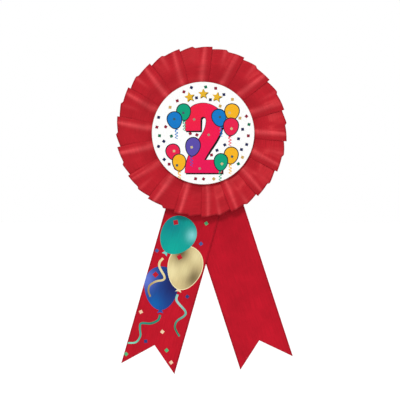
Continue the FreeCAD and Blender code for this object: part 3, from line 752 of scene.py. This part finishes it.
def smooth_line(points, steps=8):
    """A smooth line through some points: between two of them, a cubic that heads along its neighbours."""
    points = np.array([points[0], *points, points[-1]], float)
    line = []
    for a, b, c, d in zip(points, points[1:], points[2:], points[3:]):
        slope, bend, turn = (c - a) / 2, (a * 2 - b * 5 + c * 4 - d) / 2, (b * 3 - a - c * 3 + d) / 2
        line += [b + slope * t + bend * t**2 + turn * t**3 for t in np.arange(steps) / steps]
    return np.array(line + [points[-1]])


def streamer(points, width):
    """A curled paper streamer: a band of some width along a smooth line, narrower at its end."""
    line = smooth_line(points)
    heading = np.gradient(line, axis=0)
    side = np.column_stack([-heading[:, 1], heading[:, 0]]) / np.linalg.norm(heading, axis=1)[:, None]
    half = width / 2 * np.linspace(1, 0.7, len(line))[:, None]
    return np.vstack([line + side * half, (line - side * half)[::-1]])


SQUARE = [(-0.5, -0.5), (0.5, -0.5), (0.5, 0.5), (-0.5, 0.5)]
KNOT = [(-0.25, 0.3), (0.25, 0.3), (0.75, -0.75), (0, -0.55), (-0.75, -0.75)]
STAR = [(math.sin(i * TURN / 10), math.cos(i * TURN / 10)) for i in range(10)]
STAR = [(x * (1, 0.45)[i % 2], y * (1, 0.45)[i % 2]) for i, (x, y) in enumerate(STAR)]
print(f"motifs: square of {len(SQUARE)}, knot of {len(KNOT)} and star of {len(STAR)} corners")

# %% [markdown]
# ## The printed disc
# The label is gloss paper glued to a card disc: a large numeral in a black outline, heavier to the right
# and below like a shadow, ten small balloons with curly strings, three gold stars and scattered
# confetti. The numeral is one outline whose round stretches are smooth lines through a few points. The
# confetti is thrown at random from a fixed seed, and a piece that would touch a motif or another piece
# is left out.

# %% Draw the disc
LABEL_RADIUS = 23.9
NUMERAL = np.vstack([
    [(-8.3, 1.1)],
    smooth_line([(-8.3, 5.2), (-7.6, 9.3), (-4.6, 12.8), (0, 14), (4.6, 12.9), (7.9, 9.8), (8.9, 5.6),
                 (8.3, 1.2), (6.4, -3), (3.4, -7.6)], 6),
    [(0.5, -12.6), (8.9, -12.6), (8.9, -18.6), (-8.5, -18.6)],
    smooth_line([(-8.2, -15.6), (-6.9, -10.9), (-4.4, -6.2), (-1.4, -2), (0.7, 1.7), (1.5, 5.2),
                 (1.2, 7), (0.1, 7.7), (-1, 7), (-1.2, 5.4)], 6),
    [(-1.2, 1.1)],
])
# Each star's place and lean.
DISC_STARS = [(-6.4, 16.9, 12), (0, 18.4, 0), (6.4, 16.9, -12)]
# Each balloon's centre, width, height, lean and ink.
DISC_BALLOONS = [
    ((-9.1, 9.8), 6.4, 7.8, 4, "#00a078"), ((-13.3, 6.0), 6.8, 8.0, 12, "#0a78c6"),
    ((7.5, 7.1), 6.6, 8.2, 14, "#0a78c6"), ((13.5, 9.9), 6.7, 7.6, -4, "#f5b41e"),
    ((13.0, 2.9), 7.0, 8.3, -6, "#e61e4b"), ((-14.0, -8.9), 6.5, 7.6, 16, "#e61e4b"),
    ((-11.2, -13.8), 6.2, 7.9, 2, "#f5b41e"), ((-4.8, -6.4), 6.8, 8.8, -8, "#5a4ba8"),
    ((13.1, -10.5), 6.5, 7.9, -6, "#f5b41e"), ((8.3, -13.6), 6.3, 8.0, -4, "#00a078"),
]
BALLOON_LINE = 0.26
BALLOON_INSET = 0.18
BALLOON_KNOT = 1.1
STAR_SIZE = 2.4
STRING_BENDS = 6
STRING_LENGTH = 4.2
STRING_SWING = 0.6
STRING_WIDTH = 0.42
NUMERAL_DOTS = [(-4.2, 6.4), (2.6, -0.8), (-1.6, -16.6)]
DOT_SIZE = 1.1
DOT_COLOURS = ["#cdb98c", "#3c5a64"]
SCATTER_SIZE = 1.35
SCATTER_RADIUS = 22.2
SCATTER_TRIES = 3000
SCATTER_COUNT = 38
SCATTER_SPACING = 3.1
SCATTER_MARGIN = 1.2
SCATTER_COLOURS = ["#1c2250", "#1c2250", "#14704e", "#8c1c34", "#8c1c34", "#c9a45c"]


def numeral_shadow(grow, shift):
    """The numeral's outline moved out by a margin along its own normals, and then aside."""
    ahead = np.roll(NUMERAL, -1, axis=0) - np.roll(NUMERAL, 1, axis=0)
    outwards = np.column_stack([-ahead[:, 1], ahead[:, 0]]) / np.linalg.norm(ahead, axis=1)[:, None]
    return NUMERAL + outwards * grow + shift


def disc_motifs():
    """Everything printed on the disc, from the bottom up."""
    chance = random.Random(11)
    warm_to_cool = [(-0.3, 0.5, 0.6, "#ee1c40"), (0, -0.8, 0.5, "#e60e54")]
    motifs = [
        (numeral_shadow(0.34, (0.52, -0.42)), flat_ink("#160a12")),
        (numeral_shadow(0.2, (-0.1, 0.05)), flat_ink("#5c1030")),
        (NUMERAL, round_ink((0, 0), (30, 44), "#f0104e", warm_to_cool)),
    ]
    for x, y, lean in DISC_STARS:
        motifs.append((placed(STAR, (x + 0.3, y - 0.3), lean, STAR_SIZE + 0.2), flat_ink("#6b5a14")))
        motifs.append((placed(STAR, (x, y), lean, STAR_SIZE), flat_ink("#e6b428")))
    for centre, width, height, lean, colour in DISC_BALLOONS:
        foot = placed([(0, -height / 2)], centre, lean)[0]
        string = [foot - (0, 0.6)]
        for i in range(1, STRING_BENDS + 1):
            string.append(string[0] + (STRING_SWING * (-1) ** i, -STRING_LENGTH * i / STRING_BENDS))
        motifs.append((streamer(string, STRING_WIDTH), flat_ink(colour)))
        motifs.append((placed(KNOT, foot, lean, BALLOON_KNOT), flat_ink(colour)))
        motifs.append((egg(centre, width, height, lean, BALLOON_LINE), flat_ink("#101c2c")))
        motifs.append((egg(centre, width, height, lean, -BALLOON_INSET), flat_ink(colour)))
        dot = (centre[0] + chance.uniform(-1.6, 1.6), centre[1] + chance.uniform(-2, 1))
        dot = placed(SQUARE, dot, chance.uniform(0, 90), DOT_SIZE)
        motifs.append((dot, flat_ink(chance.choice(DOT_COLOURS))))
    for spot in NUMERAL_DOTS:
        motifs.append((placed(SQUARE, spot, 30, DOT_SIZE), flat_ink("#a08c78")))
    reach = SCATTER_RADIUS * np.sqrt([chance.random() for _ in range(SCATTER_TRIES)])
    turn = np.array([chance.uniform(0, TURN) for _ in range(SCATTER_TRIES)])
    spots = np.column_stack([np.cos(turn), np.sin(turn)]) * reach[:, None]
    free = np.ones(SCATTER_TRIES, bool)
    for motif, _ in motifs:
        around = placed(motif - motif.mean(0), motif.mean(0), 0, 1 + 1.6 / np.ptp(motif, axis=0).min())
        free &= ~inside(spots, around)
        free &= np.linalg.norm(spots[:, None] - motif[None], axis=2).min(1) > SCATTER_MARGIN
    scattered = []
    for spot in spots[free]:
        apart = all(np.linalg.norm(spot - other) > SCATTER_SPACING for other in scattered)
        if apart and len(scattered) < SCATTER_COUNT:
            scattered.append(spot)
            colour = chance.choice(SCATTER_COLOURS)
            motifs.append((placed(SQUARE, spot, chance.uniform(0, 90), SCATTER_SIZE), flat_ink(colour)))
    return motifs


rim = np.linspace(0, TURN, 160, endpoint=False)
disc_outline = np.column_stack([np.cos(rim), np.sin(rim)]) * LABEL_RADIUS
label_mesh = printed_sheet("printed_label", disc_outline, disc_motifs(), 1.2, flat_ink("#fdfdfb"))

# %% [markdown]
# The label's paper is coated and calendered, which gives an even gloss over faintly uneven pulp. The
# sheet is drawn round its own middle, so it is now moved to the CAD label's place and given the label's
# thickness.

# %% Gloss paper, and the label in place
LABEL_PAPER, tree = new_material("gloss_coated_paper")
printed_ink = add(tree, "ShaderNodeAttribute", attribute_name="ink")
paper_place = add(tree, "ShaderNodeTexCoord", out="Object")
pulp = add(tree, "ShaderNodeTexNoise", {"Vector": paper_place, "Scale": 900.0, "Detail": 3.0})
pulp_tone = add(tree, "ShaderNodeMapRange", [pulp, 0.3, 0.7, 0.97, 1.03])
toned = add(tree, "ShaderNodeVectorMath", {0: printed_ink, "Scale": pulp_tone}, operation="SCALE")
pulp_bump = add(tree, "ShaderNodeBump", {"Strength": 0.12, "Distance": 0.00003, "Height": pulp})
paper_shader = add(tree, "ShaderNodeBsdfPrincipled", {
    "Base Color": toned, "Roughness": 0.25, "Specular IOR Level": 0.1, "Normal": pulp_bump,
})
add(tree, "ShaderNodeOutputMaterial", [paper_shader])

label = new_object("printed_label", label_mesh)
label_low, label_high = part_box("label")
label_middle = (label_low + label_high) / 2
for point in label_mesh.vertices:
    point.co = (point.co.x * MM + label_middle.x, label_low.y, point.co.z * MM + label_middle.z)
for _ in range(INK_SLOT + 1):
    label_mesh.materials.append(LABEL_PAPER)
paper_thick = label.modifiers.new("paper_thickness", "SOLIDIFY")
paper_thick.thickness = label_high.y - label_low.y
paper_thick.offset = -1
plain_mesh(label)
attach(label, "rosette")
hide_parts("label")

# %% [markdown]
# ## The tails
# Each tail is a length of the same satin ribbon, stapled behind the frill and cut to a swallow tail. The
# left one lies in front and is printed with three foil balloons, streamers and confetti; the right one
# is plain. Its outline and its motifs are drawn flat, in millimetres from the point where the two tails
# cross, with the tips downwards. The balloons are printed in foil ink, whose soft shading makes them look
# round, and each has a diamond left bare.

# %% Draw the tails
TAIL_TOP = 12.9
RED_PRINT = "#bc1428"
FOIL_RIM = 0.3
FOIL_KNOT = 1.9
BARE_PATCH = 2.1
STREAMER_SPAN = (8, 16)
STREAMER_WIDTH = 1.15
CONFETTI_WIDTH = 1.55


def tail_outline(left_tip, notch, right_tip):
    """A tail's outline, x across and y up from the crossing, with points close enough to bend."""
    corners = [
        (-HALF_WIDTH, TAIL_TOP), (-HALF_WIDTH, -left_tip), (0, -notch), (HALF_WIDTH, -right_tip),
        (HALF_WIDTH, TAIL_TOP),
    ]
    outline = []
    for a, b in zip(corners, corners[1:] + corners[:1]):
        steps = max(1, round(math.dist(a, b) / 1.5))
        outline += [np.array(a) + (np.array(b) - a) * i / steps for i in range(steps)]
    return np.array(outline)


def foil_balloon(centre, width, height, lean, knot, base, spots, patch, rim=None):
    """A large balloon: its pale rim if any, its knot, its round body, and a diamond of bare cloth."""
    foot = placed([(0, -height / 2)], centre, lean)[0]
    rims = [(egg(centre, width, height, lean, FOIL_RIM), flat_ink(rim))] if rim else []
    return rims + [
        (placed(KNOT, foot, lean, FOIL_KNOT), flat_ink(knot)),
        (egg(centre, width, height, lean), round_ink(centre, (width, height), base, spots)),
        (placed(SQUARE, patch, 45 + lean, BARE_PATCH), flat_ink(RED_PRINT)),
    ]


# Each balloon's centre, width, height, lean, inks of its knot and its body, soft spots, place of its bare
# diamond, and ink of its rim if it has one.
FOIL_BALLOONS = [
    ((-4.4, -58.3), 15.8, 20.6, 14, "#1e50a0", "#1a4694", [
        (-0.95, 0.2, 0.5, "#6478d2"), (-0.1, -0.8, 0.5, "#0a62b0"), (0.75, 0.45, 0.9, "#161a58"),
    ], (-8.7, -52.9)),
    ((3.6, -46.1), 15.8, 20.6, 1, "#ebdcaf", "#d7c38c", [
        (0.5, 0.65, 0.4, "#ebdca5"), (-0.65, -0.3, 0.4, "#f0e1aa"), (-0.45, 0.6, 0.45, "#645637"),
        (0.65, -0.35, 0.5, "#7d6c49"), (0.0, -0.1, 0.35, "#e1d29b"),
    ], (-0.1, -41.9), "#faf0be"),
    ((-3.8, -32.4), 16.4, 19.0, -19, "#78d2c8", "#00a096", [
        (-0.5, 0.5, 0.6, "#00868c"), (0.8, 0.2, 0.3, "#82d7d7"), (0, -0.7, 0.5, "#00aa9b"),
    ], (-6.3, -26.7)),
]
# Each streamer's line, ink and soft spots.
STREAMERS = [
    ([(-7.4, -44.5), (-8.4, -46.7), (-7.8, -49.1), (-4.5, -52.5), (-4.6, -54.3), (-7.6, -55.9),
      (-9.9, -58.5), (-9.8, -61.1), (-8.2, -63.5)],
     "#d7c38c", [(0.3, 0.7, 0.8, "#f0e1aa"), (-0.5, -1.0, 0.8, "#a0824b")]),
    ([(3.8, -59.0), (4.3, -62.0), (9.4, -65.5), (9.6, -67.8), (7.0, -71.1), (7.0, -74.4), (10.1, -77.7)],
     "#50aa96", [(-0.4, 0.8, 1.1, "#a0d2c8"), (0, -1.0, 0.9, "#148264")]),
    ([(-1.4, -70.5), (-1.7, -73.1), (-4.5, -75.5), (-8.8, -76.7), (-8.8, -79.1), (-7.6, -82.5),
      (-8.8, -85.9), (-12.4, -87.3)], "#238c78", [(0.6, 0.9, 0.6, "#288264"), (-0.9, -1.0, 0.8, "#82dcbe")]),
]
TAIL_CONFETTI = [
    ("#50b478", [(7.6, -23.2), (6.1, -85.6), (-11.7, -92.5)]),
    ("#465a96", [(-11.2, -41.9), (7.8, -33.1)]),
    ("#283c78", [(8.5, -58.7), (-4.5, -84.2)]),
    ("#f0cdaa", [(-10.5, -71.6), (1.8, -77.8), (9.7, -90.5)]),
]


def tail_motifs():
    """Everything printed on the left tail, from the bottom up."""
    motifs = []
    for balloon in FOIL_BALLOONS:
        motifs += foil_balloon(*balloon)
    for line, base, spots in STREAMERS:
        ink = round_ink(np.mean(line, axis=0), STREAMER_SPAN, base, spots)
        motifs.append((streamer(line, STREAMER_WIDTH), ink))
    chance = random.Random(5)
    for colour, spots in TAIL_CONFETTI:
        for spot in spots:
            square = placed(SQUARE, spot, chance.uniform(20, 70), CONFETTI_WIDTH)
            motifs.append((square, flat_ink(colour)))
    return motifs


print(f"tail: {len(tail_motifs())} motifs")

# %% [markdown]
# The ink on the tail is a thin film over satin. It fills the weave a little, so it is glossier than the
# cloth, but the warp still shows through it as fine streaks along the ribbon.

# %% Foil ink
FOIL_INK, tree = new_material("foil_ink_on_satin")
ink_colour = add(tree, "ShaderNodeAttribute", attribute_name="ink")
ink_cloth = add(tree, "ShaderNodeUVMap", uv_map="cloth")
ink_warp = add(tree, "ShaderNodeMapping", {"Vector": ink_cloth, "Scale": THREAD_SCALE})
ink_warp = add(tree, "ShaderNodeTexNoise", {"Vector": ink_warp, "Scale": 1.0, "Detail": 2.0})
ink_streak = add(tree, "ShaderNodeMapRange", [ink_warp, 0.3, 0.7, 0.93, 1.07])
ink_colour = add(tree, "ShaderNodeVectorMath", {0: ink_colour, "Scale": ink_streak}, operation="SCALE")
ink_bump = add(tree, "ShaderNodeBump", {"Strength": 0.2, "Distance": 0.00005, "Height": ink_warp})
ink_shader = add(tree, "ShaderNodeBsdfPrincipled", {
    "Base Color": ink_colour, "Roughness": 0.25, "Specular IOR Level": 0.1, "Normal": ink_bump,
})
add(tree, "ShaderNodeOutputMaterial", [ink_shader])
print(f"foil ink: {len(FOIL_INK.node_tree.nodes)} nodes")

# %% [markdown]
# A tail is now laid at its angle, against the back of the frill, and curls forward a little towards its
# tips, as ribbon does that comes off a reel. Both fronts take the red of the printed tail's ground, so
# that the two match. Solidify gives a tail its thickness and puts its back and edges one material slot
# further on, so each front's slot is followed by plain red cloth.

# %% Lay the tails
CROSSING = (0.6, -25.9)
FOLD_LINE = 46.0
CURL_SPAN = 50.0
CURL_ACROSS = 2.2
TAIL_SLOTS = (PRINTED_SATIN, RED_SATIN, FOIL_INK, RED_SATIN)


def lay_tail(name, outline, motifs, lean, curl, nodes):
    """Prints a tail, bends it a little and lays it at its angle behind the frill."""
    mesh = printed_sheet(name, outline, motifs, 1.3, flat_ink(RED_PRINT))
    cloth = mesh.uv_layers.new(name="cloth")
    for loop in mesh.loops:
        x, _, y = mesh.vertices[loop.vertex_index].co
        cloth.data[loop.index].uv = (x + HALF_WIDTH, -y)
    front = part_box(nodes[0])[0].y / MM
    c, s = math.cos(math.radians(lean)), math.sin(math.radians(lean))

    def laid(x, y):
        free = max(0.0, (-y - FOLD_LINE) / CURL_SPAN)
        depth = front - curl * free**2 * (1 + 0.5 * math.cos(x / HALF_WIDTH * CURL_ACROSS))
        return Vector((CROSSING[0] + x * c + y * s, depth, CROSSING[1] - x * s + y * c)) * MM

    for point in mesh.vertices:
        point.co = laid(point.co.x, point.co.z)
    obj = new_object(name, mesh)
    for material in TAIL_SLOTS:
        mesh.materials.append(material)
    mesh.shade_smooth()
    thick = obj.modifiers.new("cloth_thickness", "SOLIDIFY")
    thick.thickness = SATIN_THICK
    thick.offset = -1
    thick.material_offset = 1
    thick.material_offset_rim = 1
    plain_mesh(obj)
    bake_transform(obj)
    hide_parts(*nodes)
    x, y = outline.T
    area = abs(np.dot(x, np.roll(y, -1)) - np.dot(y, np.roll(x, -1))) / 2


left_outline = tail_outline(97.3, 84.8, 95.3)
right_outline = tail_outline(93.8, 83.4, 95.4)
lay_tail("printed_tail", left_outline, tail_motifs(), 16, 1.2,
         ["left_tail_upper", "left_tail_lower"])
lay_tail("plain_tail", right_outline, [], -18, 0.9,
         ["right_tail_upper", "right_tail_lower"])

# %% [markdown]
# ## Card, glue, foam and steel
# Behind the ribbon are plain workshop materials, whose CAD shapes are already right: greyboard discs,
# hot-melt glue, staples and a brooch pin of nickel-plated steel. This ribbon's own back was never seen,
# so each gets a finish that is typical of its material.
# Greyboard is pressed from waste paper, which makes it quite matt, with flecks about 2 mm apart on its
# face, and layers on its cut edge that are about 0.1 mm thick.

# %% Greyboard
GREYBOARD, tree = new_material("pressed_greyboard")
board_place = add(tree, "ShaderNodeTexCoord", out="Object")
fibre = add(tree, "ShaderNodeTexNoise", {
    "Vector": board_place, "Scale": 600.0, "Detail": 5.0, "Roughness": 0.7,
})
fleck = add(tree, "ShaderNodeTexVoronoi", {"Vector": board_place, "Scale": 420.0})
fleck_mask = add(tree, "ShaderNodeMapRange", [fleck, 0.06, 0.16, 1.0, 0.0])
face_tone = add(tree, "ShaderNodeMix", [fibre, linear("#8d857a"), linear("#b5aea2")], data_type="RGBA")
flecked = add(tree, "ShaderNodeMix", [fleck_mask, face_tone, linear("#6b645b")], data_type="RGBA")
layers = add(tree, "ShaderNodeMapping", {"Vector": board_place, "Scale": (300, 9000, 300)})
layers = add(tree, "ShaderNodeTexNoise", {"Vector": layers, "Scale": 1.0, "Detail": 2.0})
edge_tone = add(tree, "ShaderNodeMix", [layers, linear("#6f675c"), linear("#a79f92")], data_type="RGBA")
facing = add(tree, "ShaderNodeSeparateXYZ", [add(tree, "ShaderNodeNewGeometry", out="Normal")], out="Y")
facing = add(tree, "ShaderNodeMath", [facing], operation="ABSOLUTE")
on_face = add(tree, "ShaderNodeMath", [facing, 0.5], operation="GREATER_THAN")
board_tone = add(tree, "ShaderNodeMix", [on_face, edge_tone, flecked], data_type="RGBA")
board_bump = add(tree, "ShaderNodeBump", {"Strength": 0.5, "Distance": 0.00006, "Height": fibre})
board_shader = add(tree, "ShaderNodeBsdfPrincipled", {
    "Base Color": board_tone, "Roughness": 0.92, "Specular IOR Level": 0.25, "Normal": board_bump,
})
add(tree, "ShaderNodeOutputMaterial", [board_shader])
print(f"greyboard: {len(GREYBOARD.node_tree.nodes)} nodes")

# %% [markdown]
# Hot-melt glue sets to a pale bead that lets a little light through, with a smooth gloss and slightly
# cloudy patches 3 mm apart.

# %% Glue
GLUE, tree = new_material("hot_melt_glue")
glue_place = add(tree, "ShaderNodeTexCoord", out="Object")
cloud = add(tree, "ShaderNodeTexNoise", {"Vector": glue_place, "Scale": 350.0, "Detail": 3.0})
glue_tone = add(tree, "ShaderNodeMix", [cloud, linear("#cfc3a0"), linear("#efe8d2")], data_type="RGBA")
glue_bump = add(tree, "ShaderNodeBump", {"Strength": 0.6, "Distance": 0.0002, "Height": cloud})
glue_shader = add(tree, "ShaderNodeBsdfPrincipled", {
    "Base Color": glue_tone, "Roughness": 0.28, "Transmission Weight": 0.25, "Normal": glue_bump,
})
add(tree, "ShaderNodeOutputMaterial", [glue_shader])
print(f"glue: {len(GLUE.node_tree.nodes)} nodes")

# %% [markdown]
# Steel comes in three finishes. The staples are drawn galvanised wire, a dull grey. The pin's bar, rivet
# and catch are pressed steel with a bright nickel plate that has a few tarnished patches, and the stem
# is polished spring wire with fine lines along its length. One function makes all three, because they
# differ only in colour, roughness, the size of their grain and the spacing of their patches. The CAD
# nodes then take their finishes.

# %% Steel
def metal(name, bright, dull, roughness, grain, patches):
    """A metal with a grain along or across it, given in mm each way, and duller patches."""
    material, tree = new_material(name)
    place = add(tree, "ShaderNodeTexCoord", out="Object")
    stretched = add(tree, "ShaderNodeMapping", {"Vector": place, "Scale": [1 / (g * MM) for g in grain]})
    lines = add(tree, "ShaderNodeTexNoise", {"Vector": stretched, "Scale": 1.0, "Detail": 3.0})
    tarnish = add(tree, "ShaderNodeTexNoise", {"Vector": place, "Scale": patches, "Detail": 4.0})
    tarnish = add(tree, "ShaderNodeMapRange", [tarnish, 0.5, 0.75, 0.0, 1.0])
    tone = add(tree, "ShaderNodeMix", [tarnish, linear(bright), linear(dull)], data_type="RGBA")
    worn = add(tree, "ShaderNodeMapRange", [lines, 0.3, 0.7, roughness * 0.8, roughness * 1.3])
    bump = add(tree, "ShaderNodeBump", {"Strength": 0.15, "Distance": 0.00003, "Height": lines})
    shader = add(tree, "ShaderNodeBsdfPrincipled", {
        "Base Color": tone, "Metallic": 1.0, "Roughness": worn, "Normal": bump,
    })
    add(tree, "ShaderNodeOutputMaterial", [shader])
    return material


# Grain sizes are in mm, and patches in patches per metre.
NICKEL = metal("bright_nickel_plate", "#b3b1ac", "#98958e", 0.24, (0.6, 0.6, 0.6), 500.0)
SPRING_STEEL = metal("polished_spring_wire", "#b0b1b4", "#939598", 0.25, (4.0, 0.12, 0.12), 300.0)
STAPLE_WIRE = metal("galvanised_staple_wire", "#b9babd", "#8f9194", 0.38, (2.0, 0.15, 0.15), 400.0)
CAD_FINISHES = {
    "face_card": GREYBOARD, "base_card": GREYBOARD, "cover_card": GREYBOARD,
    "frill_glue": GLUE, "cover_glue": GLUE, "tail_staples": STAPLE_WIRE,
    "pin_bar": NICKEL, "pin_rivet": NICKEL, "pin_catch": NICKEL, "pin_stem": SPRING_STEEL,
}
for node, material in CAD_FINISHES.items():
    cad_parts[node].material_slots[0].material = material
print(f"{len(CAD_FINISHES)} CAD nodes have their finish")

# %% [markdown]
# ## Foam
# Two pieces of closed-cell foam hold things here: a dot under the disc and the tape under the pin. Each
# is pressed between two flat faces, so its sides bulge out between them. It is built as rings from one
# face to the other, each a little wider towards the middle. Foam is dull, and its skin shows cells about
# 0.4 mm across.

# %% Foam dot and foam tape
FOAM, tree = new_material("closed_cell_foam")
foam_place = add(tree, "ShaderNodeTexCoord", out="Object")
cells = add(tree, "ShaderNodeTexVoronoi", {"Vector": foam_place, "Scale": 2600.0})
foam_tone = add(tree, "ShaderNodeMix", [cells, linear("#f4f3ec"), linear("#d6d4c8")], data_type="RGBA")
foam_bump = add(tree, "ShaderNodeBump", {"Strength": 0.6, "Distance": 0.0001, "Height": cells})
foam_shader = add(tree, "ShaderNodeBsdfPrincipled", {
    "Base Color": foam_tone, "Roughness": 0.85, "Specular IOR Level": 0.2, "Normal": foam_bump,
})
add(tree, "ShaderNodeOutputMaterial", [foam_shader])
FOAM_RINGS = 9
FOAM_SIDES = 64
FOAM_BULGE = 0.16 * MM


def foam(name, node, corner):
    """Foam pressed between two faces, in the space of its CAD node, with its corners rounded."""
    low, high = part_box(node)
    middle, half = (low + high) / 2, (high - low) / 2
    corner = min(corner, half.x, half.z)
    shell = bmesh.new()
    rings = []
    for ring in range(FOAM_RINGS):
        share = ring / (FOAM_RINGS - 1)
        inset = FOAM_BULGE * (1 - math.sin(math.pi * share) ** 0.7)
        loop = []
        for i in range(FOAM_SIDES):
            turn = (i + 0.5) / FOAM_SIDES * TURN
            x = (half.x - corner) * (1 if math.cos(turn) > 0 else -1) + (corner - inset) * math.cos(turn)
            z = (half.z - corner) * (1 if math.sin(turn) > 0 else -1) + (corner - inset) * math.sin(turn)
            loop.append(shell.verts.new((middle.x + x, low.y + 2 * half.y * share, middle.z + z)))
        rings.append(loop)
    for one, two in zip(rings, rings[1:]):
        for i in range(FOAM_SIDES):
            shell.faces.new((one[i], one[i - 1], two[i - 1], two[i]))
    shell.faces.new(rings[0])
    shell.faces.new(rings[-1][::-1])
    mesh = bpy.data.meshes.new(name)
    shell.to_mesh(mesh)
    shell.free()
    mesh.materials.append(FOAM)
    obj = plain_mesh(new_object(name, mesh))
    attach(obj, "rosette")
    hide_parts(node)


foam("foam_dot", "face_pad", corner=math.inf)
foam("foam_tape", "pin_tape", corner=0.5 * MM)

# %% [markdown]
# ## The floor
# A sheet of white paper, matt and faintly uneven, so that it stays plain and pale in every view.

# %% Floor finish
FLOOR_PAPER, tree = new_material("white_seamless_paper")
floor_place = add(tree, "ShaderNodeTexCoord", out="Object")
floor_noise = add(tree, "ShaderNodeTexNoise", {"Vector": floor_place, "Scale": 40.0, "Detail": 3.0})
floor_tones = [floor_noise, linear("#f6f6f6"), linear("#fafafa")]
floor_tone = add(tree, "ShaderNodeMix", floor_tones, data_type="RGBA")
floor_shader = add(tree, "ShaderNodeBsdfPrincipled", {
    "Base Color": floor_tone, "Roughness": 0.95, "Specular IOR Level": 0.1,
})
add(tree, "ShaderNodeOutputMaterial", [floor_shader])
floor_mesh.materials.append(FLOOR_PAPER)
print(f"floor: {len(FLOOR_PAPER.node_tree.nodes)} nodes")
